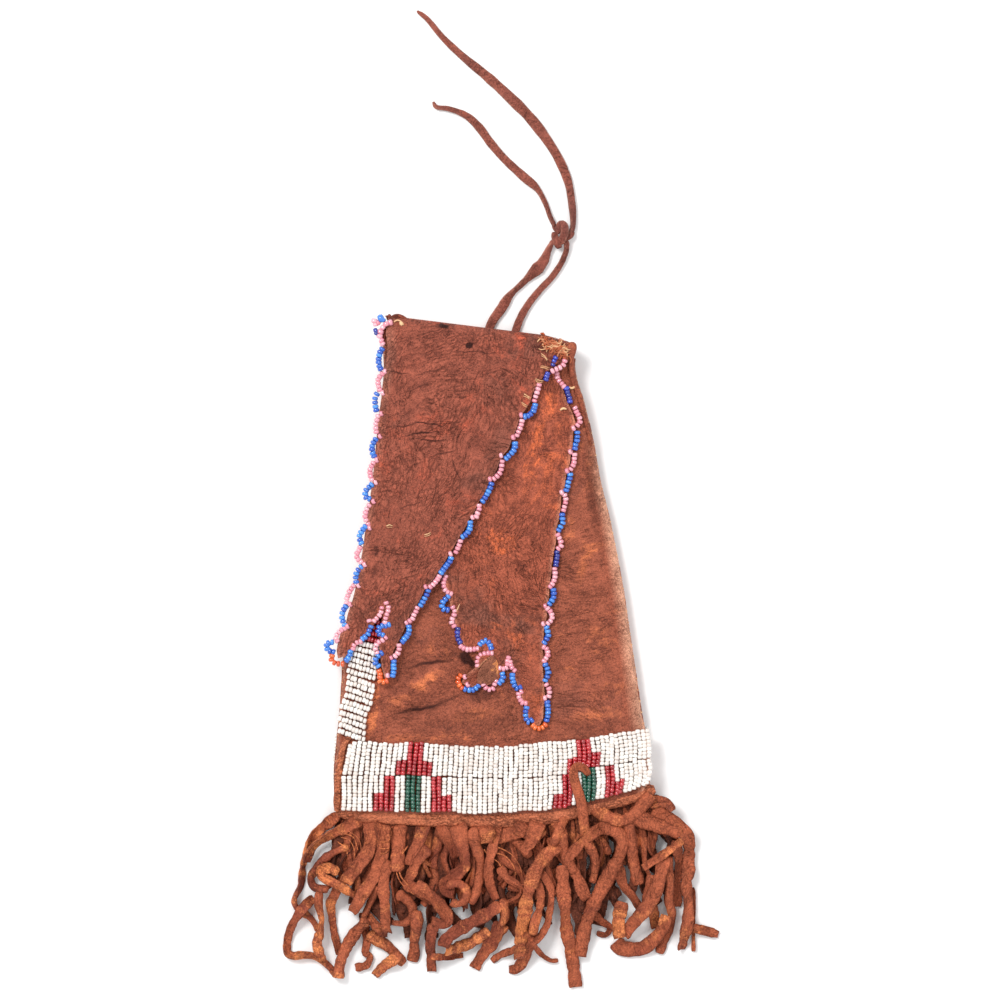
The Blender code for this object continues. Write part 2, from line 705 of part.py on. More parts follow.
def add_hinges():
    """The axes of the two flaps, the fringe and the thong."""
    middle = along(mouth_line, 0.5)
    crest = fold_radius + hide_thickness / 2 + fit_gap / 2
    over_axis = middle + mouth_out * crest + Vector((0, 0, fold_centre_level))
    lip_level = front_top - hide_thickness / 2 + front_fold_radius
    under_axis = middle - mouth_out * (front_lip_setback - fit_gap) + Vector((0, 0, lip_level))
    fringe_axis = along(line_of(fringe_hinge_shares), 0.5) + Vector((0, 0, welt_middle))
    grid = panel_grid(mouth_line)
    slits = [grid[slit_row][column].lerp(grid[slit_row + 1][column + 1], 0.5)
             for column in slit_columns]
    thong_axis = slits[0].lerp(slits[1], 0.5) + Vector((0, 0, thong_diameter / 2))
    add_hinge("over_flap_axis", over_axis, named("over_flap") + named("corner_stitch"))
    add_hinge("under_flap_axis", under_axis, named("under_flap"))
    add_hinge("fringe_axis", fringe_axis, named("fringe_"))
    moving = [piece for piece in named("thong_") if piece.name != "thong_lacing"]
    add_hinge("thong_axis", thong_axis, moving)


def build():
    """Make the whole pouch."""
    for existing in list(bpy.data.objects):
        bpy.data.objects.remove(existing)
    add_panels()
    add_side_seam("left_seam", 0, 1)
    add_side_seam("right_seam", -1, -1)
    add_fold("mouth_fold", over_root_shares, 0, fold_centre_level, fold_radius, flap_colour)
    add_fold("front_lip_fold", under_root_shares, front_lip_setback - fit_gap,
             front_top - hide_thickness / 2 + front_fold_radius, front_fold_radius, flap_colour)
    over_lines = add_over_flap()
    add_flap_beads("over_flap", over_lines, over_flap_middle, over_left_start, over_right_start, over_apex)
    under_lines = add_under_flap()
    add_flap_beads("under_flap", under_lines, under_flap_middle, under_left_start, under_right_start,
                   under_apex)
    add_corner_stitch()
    add_beadwork()
    add_welt()
    for layer, (name, span_shares, sway_turns, sway_start, tip_start) in enumerate(fringe_layers):
        add_fringe_layer(name, span_shares, layer, sway_turns, sway_start, tip_start)
    add_hooked_strip()
    add_thong()
    add_hinges()


build()
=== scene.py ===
"""Looks of the beaded hide paint pouch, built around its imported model.

Metres, +Z up, +Y towards the mouth of the pouch. Tables of pixel pairs are places in the photograph,
which is 1000 by 1000, and at() turns them into places on the pouch.
"""

import math
import random

import bmesh
import bpy
import numpy as np
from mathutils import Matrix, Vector, noise


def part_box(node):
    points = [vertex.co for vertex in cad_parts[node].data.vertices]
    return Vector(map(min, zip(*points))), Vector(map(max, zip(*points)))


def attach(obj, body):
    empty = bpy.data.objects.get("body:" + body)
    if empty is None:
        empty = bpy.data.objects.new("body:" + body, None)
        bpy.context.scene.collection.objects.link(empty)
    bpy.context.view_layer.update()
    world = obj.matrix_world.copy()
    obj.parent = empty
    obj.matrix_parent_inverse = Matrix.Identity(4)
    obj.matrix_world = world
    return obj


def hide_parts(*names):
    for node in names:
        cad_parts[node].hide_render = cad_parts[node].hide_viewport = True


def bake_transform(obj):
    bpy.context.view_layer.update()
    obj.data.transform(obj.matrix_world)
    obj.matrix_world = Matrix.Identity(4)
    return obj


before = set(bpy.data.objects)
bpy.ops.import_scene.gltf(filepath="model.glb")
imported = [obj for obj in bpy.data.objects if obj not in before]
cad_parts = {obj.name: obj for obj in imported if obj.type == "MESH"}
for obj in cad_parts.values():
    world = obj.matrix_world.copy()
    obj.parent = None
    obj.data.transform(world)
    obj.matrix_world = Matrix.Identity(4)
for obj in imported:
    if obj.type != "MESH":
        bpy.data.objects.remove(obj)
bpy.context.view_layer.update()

# The photograph: its pixels, in the frame's metres
picture_middle = (499.85, 655.2)
pixel_size = (0.00038095, 0.0003796)
camera_pixel = (500, 500)
camera_height = 2.2
view_width = 0.3803
view_level = 0.010
sensor_width = 36

# Levels and thicknesses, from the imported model
hide_thickness = 0.0010
front_middle = 0.0087
under_flap_level = 0.0104
over_flap_level = 0.0126
back_mouth_level = 0.0027
back_band_level = 0.0021
lane_level = 0.0104
back_lane_level = 0.0009
side_middle = 0.0050
fold_radius = 0.00465
fold_reach = 0.00675
fold_centre = 0.00785
lip_radius = 0.00085
lip_centre = 0.00955
lip_setback = 0.0017
welt_level = 0.00565

# Beads
bead_segments = 9
bead_ring_segments = 7
bead_hole_radius = 0.00060
bead_wall_radius = 0.00034
bead_stretch = 2.1
bead_pitch = 0.00137
edge_bead_pitch = 0.00142
edge_bead_widths = {"blue": 1.32, "navy": 1.24, "pink": 1.20, "orange": 1.26}
strip_bead_wobble = 0.00009
bead_wobble = 0.00005
bead_tilt = 0.09
column_sway = 0.00012
column_bow = 0.0006
column_bow_reach = 0.035
thread_end_play = 0.0003
lane_arch = 0.00025
lane_gap = 0.0001
band_bead_size = (1.02, 1.06)
strip_bead_width = 1.15
strip_arch = 0.0002
row_sway = 0.00012
knot_bead_heading = (1.0, 0.35, 0.3)
knot_bead_rise = 0.0006
single_bead_rise = 0.0003
corner_string_level = over_flap_level + 0.0013

# Outlines of the hide, in pixels
mouth_left = (384.1, 333.8)
mouth_right = (575, 357.6)
left_outline = (
    (387, 333.8), (385, 372), (379, 430), (372.5, 490), (363.5, 552), (352.5, 610), (344.5, 655),
    (341.5, 700), (338.2, 737), (335, 774), (336.9, 814))
right_outline = (
    (575, 357.6), (574.2, 368), (576.6, 381), (583, 400), (592.7, 440), (600, 482), (609.5, 520),
    (617.5, 560), (624, 596), (629, 631), (635, 671), (641, 712), (646.5, 741), (649.5, 765), (649, 793))
bottom_outline = ((336.9, 814), (404.9, 816), (478.6, 818), (552, 815), (600.9, 806), (649, 793))
over_left = (
    (386, 334), (388, 346), (386, 366), (382.5, 393), (379, 416), (375.5, 453), (373.6, 480), (369.5, 507),
    (365, 535), (362, 562), (356, 588), (353, 600), (348.5, 613), (346.5, 622), (341, 634), (338.5, 642),
    (337, 651), (338.5, 658.5))
over_notch = (
    (338.5, 658.5), (345, 656.5), (351, 653), (358, 645), (364.5, 638), (369.5, 631.5), (374, 625),
    (379.5, 618.5), (383.5, 612.5), (386.6, 606.6), (387, 612), (385.8, 618), (384, 624), (381.6, 630),
    (380.2, 637), (379.6, 645), (380.5, 655), (382, 667), (385.5, 679))
over_right = (
    (569, 356.8), (567.4, 359.8), (563, 361.4), (557, 364), (549, 370), (541, 379), (535.5, 386),
    (532.5, 394), (530, 402), (525, 410), (519.5, 417), (517.5, 425), (514.5, 433), (511.5, 440),
    (508.5, 449), (502, 456), (498.5, 464), (496, 472), (490.5, 479), (487.5, 487), (483.5, 495),
    (478, 503), (474.5, 512), (470, 518), (466, 527), (461.5, 534), (457, 541), (453, 548.5), (449, 555),
    (445.5, 561), (440, 569.5), (435.5, 576.5), (430.5, 583), (425, 589), (421.5, 596.5), (418, 603),
    (413, 611), (408, 618.5), (405, 628), (401.5, 636), (397.5, 643), (394, 650.5), (390.8, 659),
    (390.4, 668), (389, 675.5), (385.5, 679))
under_left = (
    (416.3, 343.4), (422, 390), (428, 440), (436, 511), (443.5, 572), (444.5, 584), (448, 596), (452, 610),
    (455, 622), (459, 636), (462, 643), (468, 648.4), (476, 650), (480, 654.6), (477.6, 661), (476.6, 667),
    (470, 672), (464, 677), (461.5, 683))
under_notch = (
    (461.5, 683), (470, 687.5), (480, 686.5), (490, 684.5), (498, 680.5), (503, 673), (506.5, 665),
    (508.8, 658), (511.2, 668), (514.5, 678), (519, 688), (522, 698), (525.5, 708), (528.5, 718),
    (533, 724.5), (539, 727))
under_right = (
    (562.7, 361.7), (560, 368), (559.5, 376), (563, 388), (567, 402), (572.5, 413), (575.5, 423),
    (573, 433), (572.5, 445), (570.5, 455), (569.5, 465), (566, 475), (564.5, 487), (561, 497),
    (560.5, 508), (558.5, 520), (556, 530), (556, 542), (553.5, 553), (552, 564), (551, 575), (549, 586),
    (549, 598), (546.5, 608), (547, 617), (544, 627), (543.5, 637), (542, 648), (543.5, 657), (542.5, 667),
    (543.5, 677), (544, 688), (545, 697), (543.5, 710), (543, 719), (539, 727))

# Bead band, in pixels
band_top = (
    (349.4, 747), (353.5, 742), (364.6, 741.5), (393.7, 743.4), (416, 742), (440.5, 745.7), (476, 746.8),
    (510, 746.8), (543, 742.3), (565.5, 741.2), (588, 739), (610, 734.5), (632.5, 731), (648.5, 728.5))
band_middle = (
    (342.0, 776), (374, 775.6), (409, 775.8), (445, 777), (487, 778.5), (532, 778.5), (565.5, 774.7),
    (588, 768.5), (621, 764), (650.5, 758))
band_bottom = (
    (340.8, 811), (375.8, 811.5), (404.8, 812.2), (431.6, 813.2), (454, 812.5), (478.5, 814.4),
    (496, 813.6), (521, 811.5), (552, 810.5), (576.7, 804.8), (601, 799), (619, 794.8), (649, 784.5))
band_columns = 62
column_taper = 0.075
upper_motifs = (416.3, 582.9)
lower_motifs = (414.2, 587.1)

# Bead strip over the left seam, in pixels
strip_outer = (
    (392, 345), (389.5, 374), (383, 430), (376.5, 490), (367.5, 552), (357, 610), (352, 640), (347.5, 668),
    (345.5, 690), (343.5, 700), (339.6, 705), (339, 718), (338.6, 733.5))
strip_inner = (
    (421, 352), (417.5, 381), (411.5, 437), (404.5, 497), (396, 559), (386, 617), (379.5, 651),
    (376.5, 676), (374, 698), (371, 709), (367.8, 716), (366, 729), (364.8, 743))
strip_row_pixels = 6.1
strip_row_beads = 8
strip_red_rows = (606, 639)
back_band_left = ((333, 735), (331.5, 774), (334.5, 810))


def at(pixel, level=0.0):
    """Place in the frame of a pixel of the photograph, at a height above the table."""
    x, y = pixel
    return Vector(((x - picture_middle[0]) * pixel_size[0], (picture_middle[1] - y) * pixel_size[1], level))


def line_at(pixels, level=0.0):
    """The places of a table of pixels, as rows of numbers."""
    return np.array([at(pixel, level) for pixel in pixels])


def lengths(line):
    """Length from a line's start to each of its points."""
    steps = np.linalg.norm(np.diff(line, axis=0), axis=1)
    return np.concatenate([[0], np.cumsum(steps)])


def along(line, shares):
    """Points at shares of a line's length."""
    run = lengths(line)
    spots = np.asarray(shares) * run[-1]
    return np.stack([np.interp(spots, run, line[:, axis]) for axis in range(3)], axis=-1)


def smooth(points, step):
    """Even points on the smooth curve through a list of points."""
    route = np.array(points, float)
    ends = np.vstack([route[0] * 2 - route[1], route, route[-1] * 2 - route[-2]])
    curve = []
    for before, start, end, after in zip(ends, ends[1:], ends[2:], ends[3:]):
        count = max(2, math.ceil(np.linalg.norm(end - start) / step))
        for part in range(count):
            t = part / count
            curve.append(((2 * start) + (end - before) * t
                          + (2 * before - 5 * start + 4 * end - after) * t ** 2
                          + (3 * start - before - 3 * end + after) * t ** 3) / 2)
    curve.append(route[-1])
    curve = np.array(curve)
    count = max(2, round(lengths(curve)[-1] / step))
    return along(curve, np.linspace(0, 1, count + 1))


def run_of(line):
    """Unit direction of a line at each of its points."""
    run = np.gradient(line, axis=0)
    return run / np.maximum(np.linalg.norm(run, axis=1), 1e-12)[:, None]


def patch(top, bottom, left, right, columns, row_shares):
    """Grid of points that fills the space between four lines."""
    across = np.linspace(0, 1, columns + 1)
    down = np.asarray(row_shares)[:, None, None]
    top_points = along(top, across)[None]
    bottom_points = along(bottom, across)[None]
    left_points = along(left, row_shares)[:, None]
    right_points = along(right, row_shares)[:, None]
    share = across[None, :, None]
    sides = left_points * (1 - share) + right_points * share
    ends = top_points * (1 - down) + bottom_points * down
    corners = ((top[0] * (1 - share) + top[-1] * share) * (1 - down)
               + (bottom[0] * (1 - share) + bottom[-1] * share) * down)
    return sides + (ends - corners) * down


def new_object(name, points, faces):
    """A shaded mesh object, with its place in its mesh."""
    mesh = bpy.data.meshes.new(name)
    mesh.from_pydata(np.asarray(points).tolist(), [], [list(map(int, face)) for face in faces])
    piece = bpy.data.objects.new(name, mesh)
    bpy.context.collection.objects.link(piece)
    mesh.shade_smooth()
    return piece


def paint(piece, name, values):
    """Store a number for each point of a piece, for its material to read."""
    piece.data.attributes.new(name, "FLOAT", "POINT").data.foreach_set("value", values)


def grid_faces(rows, columns):
    """The four corners of each cell of a grid of points."""
    first = (np.arange(rows - 1)[:, None] * columns + np.arange(columns - 1)[None]).ravel()
    return np.stack([first, first + columns, first + columns + 1, first + 1], axis=1)


def use(piece):
    """Make a piece the only selected and the active one."""
    bpy.ops.object.select_all(action="DESELECT")
    piece.select_set(True)
    bpy.context.view_layer.objects.active = piece


def finished(piece, **modifiers):
    """Add modifiers by their kind, and apply them."""
    use(piece)
    for kind, settings in modifiers.items():
        modifier = piece.modifiers.new(kind, kind)
        for setting, value in settings.items():
            setattr(modifier, setting, value)
        bpy.ops.object.modifier_apply(modifier=modifier.name)
    return piece


def outward(piece):
    """Turn a closed piece's faces outwards."""
    shell = bmesh.new()
    shell.from_mesh(piece.data)
    bmesh.ops.recalc_face_normals(shell, faces=shell.faces)
    shell.to_mesh(piece.data)
    shell.free()
    return piece


# Materials


class Value:
    """One output of a material's nodes. Sums and products of values add Math nodes."""

    def __init__(self, tree, socket):
        self.tree = tree
        self.socket = socket

    def made(self, kind, settings, values, output=0):
        """Add a node: its settings first, then the values or links of its sockets."""
        node = self.tree.nodes.new("ShaderNode" + kind)
        for name, setting in settings.items():
            if name == "stops":
                ramp = node.color_ramp.elements
                while len(ramp) < len(setting):
                    ramp.new(0.5)
                for stop, (place, colour) in zip(ramp, setting):
                    stop.position = place
                    stop.color = colour
            else:
                setattr(node, name, setting)
        for name, value in values.items():
            socket = node.inputs[name]
            if isinstance(value, Value):
                self.tree.links.new(value.socket, socket)
            else:
                socket.default_value = value
        return Value(self.tree, node.outputs[output])

    def maths(self, operation, first, second=0.0):
        return self.made("Math", {"operation": operation}, {0: first, 1: second})

    def __add__(self, other):
        return self.maths("ADD", self, other)

    def __radd__(self, other):
        return self.maths("ADD", other, self)

    def __sub__(self, other):
        return self.maths("SUBTRACT", self, other)

    def __rsub__(self, other):
        return self.maths("SUBTRACT", other, self)

    def __mul__(self, other):
        return self.maths("MULTIPLY", self, other)

    def __rmul__(self, other):
        return self.maths("MULTIPLY", other, self)

    def within(self, low, high):
        """0 below low, 1 above high, and smooth between."""
        return self.made("MapRange", {"interpolation_type": "SMOOTHSTEP"},
                         {"Value": self, "From Min": low, "From Max": high})

    def mixed(self, first, second):
        """A colour between two, by this value."""
        return self.made("Mix", {"data_type": "RGBA"}, {0: self, 6: first, 7: second}, 2)

    def vector(self, operation, *others):
        """A Vector Math operation on this vector and others."""
        return self.made("VectorMath", {"operation": operation}, dict(enumerate((self, *others))))

    def noises(self, scale):
        """Three soft noises at this place, as a vector."""
        return self.made("TexNoise", {}, {"Vector": self, "Scale": scale, "Detail": 2.0}, 1)

    def cloud(self, scale, detail=3.0, roughness=0.55, distortion=0.0):
        """Soft noise at this place."""
        return self.made("TexNoise", {}, {"Vector": self, "Scale": scale, "Detail": detail,
                                          "Roughness": roughness, "Distortion": distortion})

    def turned(self, angle, length, shift=(0.0, 0.0, 0.0)):
        """This place, for a pattern that is drawn out along an angle about Z."""
        return self.made("Mapping", {"vector_type": "TEXTURE"},
                         {"Vector": self, "Location": shift, "Rotation": (0.0, 0.0, math.radians(angle)),
                          "Scale": (length, 1.0, 1.0)})

    def lines(self, scale, width, distortion=1.5):
        """Thin wandering lines at this place."""
        wave = self.cloud(scale, 4, 0.6, distortion) - 0.5
        return 1.0 - wave.maths("ABSOLUTE", wave).within(0.0, width)

    def cells(self, scale):
        """How far this place is from the edge of its cell, for a net of fine cracks."""
        return self.made("TexVoronoi", {"feature": "DISTANCE_TO_EDGE"}, {"Vector": self, "Scale": scale})

    def near(self, pixel, reach, angle=0):
        """1 close to a pixel of the photograph, and 0 beyond its reach in pixels."""
        size = (reach[0] * pixel_size[0], reach[1] * pixel_size[1], 1000.0)
        spot = self.made("Mapping", {"vector_type": "TEXTURE"},
                         {"Vector": self, "Location": at(pixel), "Scale": size,
                          "Rotation": (0.0, 0.0, math.radians(angle))})
        return 1.0 - spot.made("VectorMath", {"operation": "LENGTH"}, {0: spot}, 1).within(0.3, 1.0)

    def multiplied(self, tint):
        """This colour times another."""
        return self.made("Mix", {"data_type": "RGBA", "blend_type": "MULTIPLY"},
                         {0: 1.0, 6: self, 7: tint}, 2)


def colour(red, green, blue):
    """A shader's colour from the 0 to 255 numbers of a picture."""
    return tuple(((part / 255 + 0.055) / 1.055) ** 2.4 for part in (red, green, blue)) + (1.0,)


def finish(name, fixed):
    """A new material with its shader's fixed numbers. Returns it, its shader and two values."""
    material = bpy.data.materials.new(name)
    material.use_nodes = True
    tree = material.node_tree
    shader = tree.nodes["Principled BSDF"]
    for socket, number in fixed.items():
        shader.inputs[socket].default_value = number
    place = Value(tree, tree.nodes.new("ShaderNodeTexCoord").outputs["Object"])
    tone_node = tree.nodes.new("ShaderNodeAttribute")
    tone_node.attribute_name = "tone"
    tone = Value(tree, tone_node.outputs["Fac"])
    return material, shader, place, tone


def feed(shader, **values):
    """Link values to a shader's sockets."""
    for socket, value in values.items():
        value.tree.links.new(value.socket, shader.inputs[socket.replace("_", " ")])


# Pale tint for rims: worn edges of the hide sheets, and painted highlights along the edges of the thong, its
# knot and the curled tab's edge
rim_wear_and_highlight = colour(236, 205, 180)[:3]


def hide_finish(name, base, worn, dusk, shares, seed=0.0, crease_angle=52, wrinkled=1.0, wear_and_highlight_places=(),
                dark_places=(), shade_lines=(), contrast=1.0):
    """Old tanned hide: worn patches, grey-brown areas, grain and wrinkles. Painted into the colour: shade in
    the wrinkles, highlights on fold ridges, edges paled by the rim as wear and as highlights or darkened as
    shade, and dark places that are mostly painted shadows and shade.
    """
    material, shader, place, tone = finish(name, {"Specular IOR Level": 0.20})
    worn_share, dusk_share = shares
    spot = place.turned(0, 1.0, (seed, seed, 0.0))
    bent = spot.noises(24.0).vector("MULTIPLY_ADD", (0.030, 0.030, 0.0), spot)
    ruffle = bent.noises(420.0)
    rough = ruffle.vector("MULTIPLY_ADD", (0.0016, 0.0016, 0.0), bent)
    parting = ruffle.vector("SUBTRACT", (0.5, 0.5, 0.5))
    frayed = parting.vector("MULTIPLY_ADD", (0.0065, 0.0065, 0.0), place)
    sway = spot.noises(130.0).vector("SUBTRACT", (0.5, 0.5, 0.5))
    swayed = sway.vector("MULTIPLY_ADD", (0.0045, 0.0045, 0.0), place)
    streaks = bent.turned(crease_angle, 2.2).cloud(800, 3, 0.6)
    patches = bent.cloud(64, 5, 0.66, 0.6).within(0.58 - worn_share, 0.78 - worn_share)
    areas = bent.turned(25, 1.6).cloud(42, 4, 0.6).within(0.56 - dusk_share, 0.72 - dusk_share)
    mottle = spot.cloud(170, 3, 0.6)
    grain = spot.cloud(1100, 3, 0.7)
    fleck = spot.cloud(2500, 2, 0.7)
    pebbles = rough.turned(crease_angle, 1.7).cells(640).within(0.0, 0.24)
    pebbled = spot.cloud(70, 2).within(0.30, 0.62) * wrinkled
    creases = bent.turned(crease_angle + 8, 5.0).lines(230, 0.011) * spot.cloud(48, 2).within(0.44, 0.60)
    level = bent.turned(-5, 6.0).lines(230, 0.010) * spot.cloud(52, 2).within(0.50, 0.36)
    wrinkles = creases.maths("MAXIMUM", creases, level) * wrinkled
    broken = 0.25 + streaks.within(0.40, 0.62) * 0.8 + mottle.within(0.36, 0.64) * 0.4
    # Worn places take the worn colour, and so do painted highlights along the fold ridges of the front panel
    for pixel, reach, angle, paling in wear_and_highlight_places:
        patches = patches + frayed.near(pixel, reach, angle) * mottle.within(0.36, 0.60) * paling
    rim = place.made("Attribute", {"attribute_name": "rim"}, {}, 2)
    shade = areas.mixed(base, dusk)
    shade = (patches * broken).mixed(shade, worn)
    # A positive rim pales the edges: wear on the hide sheets, a painted highlight on strips and cords
    pale = tuple(part * 0.6 + light * 0.4 for part, light in zip(worn[:3], rim_wear_and_highlight)) + (1.0,)
    shade = (rim * (fleck + mottle - 0.15)).mixed(shade, pale)
    shade = (tone - 0.5 + (grain - 0.5) * 0.7 + (mottle - 0.5) * 0.4).within(0.0, 0.5).mixed(shade, worn)
    relief = (mottle - 0.5) * 1.1 + (grain - 0.5) * 1.3 + (fleck - 0.5) * 1.9
    relief = relief + (streaks - 0.5) * 0.9 * wrinkled
    relief = (relief + (pebbles - 0.72) * pebbled * 0.34) * contrast
    # Wrinkles darken the colour as painted shade in the creases, and a negative rim darkens the sides of
    # strips as painted shade
    strength = relief + 0.50 - wrinkles * 0.40 + rim.maths("MINIMUM", rim, 0.0)
    shade = shade.multiplied(strength.mixed((0.46, 0.41, 0.40, 1.0), (1.60, 1.58, 1.58, 1.0)))
    # Painted shadows and shade: dark places and lines mix the colour towards this darker one
    deep = shade.multiplied((0.15, 0.11, 0.11, 1.0))
    shadow = 0.0
    for where, table in ((frayed, dark_places), (swayed, shade_lines)):
        for pixel, reach, angle, dark in table:
            shadow = where.near(pixel, reach, angle) * (dark * 0.4) + shadow
    if dark_places:
        shade = (shadow * (0.55 + mottle)).mixed(shade, deep)
    height = (streaks - 0.5) * wrinkled + (grain - 0.5) * 0.9 + (fleck - 0.5) * 0.5 - wrinkles * 1.2
    height = height + pebbles * pebbled * 0.8
    bump = height.made("Bump", {}, {"Height": height, "Strength": 0.9, "Distance": 0.0004})
    feed(shader, Base_Color=shade, Roughness=0.50 + grain * 0.34, Normal=bump)
    return material


def glass_finish(name, deep, bright):
    """Glass beads, each a little lighter or darker than the next."""
    material, shader, place, tone = finish(name, {"Roughness": 0.16, "IOR": 1.55, "Specular IOR Level": 1.0})
    dirt = place.cloud(900, 2).within(0.60, 0.78) * 0.25
    shade = tone.mixed(deep, bright)
    feed(shader, Base_Color=dirt.mixed(shade, tuple(part * 0.45 for part in deep[:3]) + (1.0,)))
    return material


def sinew_finish(name, pale, brown):
    """Split sinew: straw coloured fibre, browner in places."""
    material, shader, place, tone = finish(name, {"Roughness": 0.6})
    fibre = place.turned(30, 5.0).cloud(2600, 3)
    shade = (tone * 0.7 + fibre * 0.3).within(0.1, 0.9).mixed(pale, brown)
    bump = fibre.made("Bump", {}, {"Height": fibre, "Strength": 0.4, "Distance": 0.0002})
    feed(shader, Base_Color=shade, Normal=bump)
    return material


# Worn places and dark places of the hide: pixel, reach in pixels, angle and strength. Most dark places are
# painted shade.
flap_worn = (
    ((440, 425), (10, 34), 62, 0.5), ((425, 475), (26, 12), 60, 0.5), ((500, 350), (26, 9), -8, 0.4),
    ((470, 395), (9, 26), -35, 0.4))
flap_dark = (
    ((395, 402), (5, 1.6), 8, 2.0), ((378, 550), (3.2, 5), 0, 1.8), ((472, 342), (9, 7), 0, 0.35),
    ((391, 352), (4, 34), 2, 0.5), ((388, 430), (3, 50), 4, 0.3), ((517, 350), (14, 8), 0, 0.3),
    ((552, 347), (10, 6), -20, 0.8), ((396, 540), (18, 56), 4, 0.32))
# Painted shade: dark holes, and dark lines in the creases of the over flap
flap_shade_lines = (
    ((470, 344.5), (6.2, 4.4), 20, 3.8), ((444, 325.8), (8.0, 3.2), -5, 3.2),
    ((428, 424), (24, 1.4), -3, 2.2), ((421, 433.5), (26, 1.4), 12, 2.2), ((430, 440.3), (24, 1.3), 0, 1.9),
    ((404, 425), (15, 1.4), 2, 1.8), ((476, 352), (30, 1.3), -4, 1.5), ((430, 372), (24, 1.3), 10, 1.4),
    ((456, 470), (1.4, 24), 20, 1.4), ((412, 468), (20, 1.3), 30, 1.4), ((398, 372), (15, 1.3), -8, 1.5),
    ((444, 452), (20, 1.3), 14, 1.4), ((418, 388), (20, 1.2), 24, 1.2), ((474, 380), (1.2, 18), -24, 1.2),
    ((410, 505), (18, 1.3), 22, 1.3), ((436, 492), (1.3, 20), -18, 1.2), ((494, 372), (22, 1.2), 12, 1.1))
under_worn = (
    ((534, 455), (9, 50), -10, 1.0), ((549, 402), (13, 22), 0, 0.7), ((562, 432), (10, 22), 0, 0.6),
    ((506, 545), (18, 10), 30, 0.6), ((517, 640), (9, 26), 8, 0.5), ((536, 700), (7, 22), 0, 0.4),
    ((497.5, 670), (3.4, 9), -10, 2.0))
# Mostly painted shade: the shadow beside the over flap's edge and under the curled tab
under_dark = (
    ((508, 470), (10, 30), -28, 0.3), ((484, 672), (20, 12), 20, 0.4), ((524, 567), (4, 3), 0, 1.2),
    ((468, 679), (13, 8), 10, 0.5), ((492, 662), (9, 4), 45, 0.5))
# Worn places of the front panel, with painted highlights along the ridges of its lower folds
front_wear_and_highlights = (
    ((373, 716), (7, 34), -10, 2.0), ((412, 692), (46, 9), 30, 0.7), ((430, 738), (90, 5), 2, 0.5),
    ((434, 678), (34, 9), 24, 0.5), ((474, 716), (26, 9), 10, 0.35), ((600, 640), (20, 34), 0, 0.3),
    ((612, 690), (26, 10), 20, 0.4), ((596, 716), (34, 9), 6, 0.5))
# Painted shadows below the curled tab and beside the under flap's edge, shade in creases, and darker areas
front_dark = (
    ((483, 696), (24, 9), 8, 1.4), ((418, 712), (44, 9), 20, 0.8), ((552, 520), (9, 150), 0, 0.4),
    ((436, 660), (40, 7), 10, 0.8), ((592, 485), (9, 64), 6, 1.2), ((470, 724), (84, 15), 2, 0.6),
    ((590, 724), (46, 8), 6, 0.3), ((404, 674), (14, 16), 0, 0.6))
# Painted shade: the shadow under the curled tab, and dark lines in the creases of the front panel
front_shade_lines = (
    ((467, 658), (12, 7), -28, 3.4), ((474, 664), (6, 5), -60, 2.4), ((430, 663.5), (34, 2.6), 8, 1.5),
    ((418, 709.5), (38, 2.6), 12, 1.5), ((450, 698), (24, 2.2), 26, 1.1), ((470, 712), (26, 1.8), -6, 0.9),
    ((566, 706), (26, 1.6), 8, 0.8), ((600, 676), (22, 1.6), 14, 0.7))
flap_hide = hide_finish("flap_hide", colour(142, 76, 59), colour(170, 80, 58), colour(124, 70, 56),
                        (0.04, 0.04), 0.0, 66, 1.0, flap_worn, flap_dark, flap_shade_lines, 1.1)
under_hide = hide_finish("under_flap_hide", colour(149, 77, 56), colour(196, 98, 60), colour(120, 70, 56),
                         (0.05, 0.03), 0.31, 84, 0.9, under_worn, under_dark, contrast=1.25)
pouch_hide = hide_finish("pouch_hide", colour(146, 79, 58), colour(190, 106, 68), colour(126, 71, 56),
                         (0.03, 0.03), 0.57, 12, 0.5, front_wear_and_highlights, front_dark, front_shade_lines, 1.1)
fringe_hide = hide_finish("fringe_hide", colour(164, 87, 59), colour(220, 134, 82), colour(130, 64, 46),
                          (0.05, 0.06), 0.83, 84, 0.7, contrast=0.95)
# A darker copy of the fringe hide for the hidden lower strips: painted shade for the deep gaps between strips
shaded_fringe_hide = hide_finish("shaded_fringe_hide", colour(110, 58, 40), colour(152, 86, 52), colour(82, 42, 31),
                              (0.0, 0.05), 0.83, 84, 0.7)
welt_hide = hide_finish("welt_hide", colour(176, 101, 71), colour(204, 128, 88), colour(140, 78, 57),
                        (0.05, 0.06), 0.4, 2, 1.0, contrast=1.3)
# The grey-brown underside of the curled tab, with a pale orange patch and painted shade on its left side
cone_hide = hide_finish("cone_hide", colour(138, 84, 64), colour(206, 132, 82), colour(124, 80, 64),
                        (0.0, 0.04), 0.2, 60, 0.5, (((497, 670), (4.6, 12), -6, 2.6),),
                        (((484, 670), (5, 12), -30, 0.5),))
thong_hide = hide_finish("thong_hide", colour(134, 74, 61), colour(156, 82, 62), colour(110, 62, 54),
                         (0.0, 0.05), 0.13, 48, 0.6)
glass_colours = {
    "white": ((226, 214, 206), (250, 246, 241)), "red": ((148, 14, 26), (196, 40, 48)),
    "green": ((8, 66, 50), (28, 96, 74)), "blue": ((22, 76, 184), (66, 146, 232)),
    "navy": ((24, 34, 120), (44, 66, 186)), "pink": ((224, 136, 154), (244, 178, 190)),
    "orange": ((214, 76, 24), (238, 112, 40))}
glasses = {kind: glass_finish(f"{kind}_glass", colour(*deep), colour(*bright))
           for kind, (deep, bright) in glass_colours.items()}
sinew = sinew_finish("sinew", colour(238, 196, 148), colour(176, 92, 54))


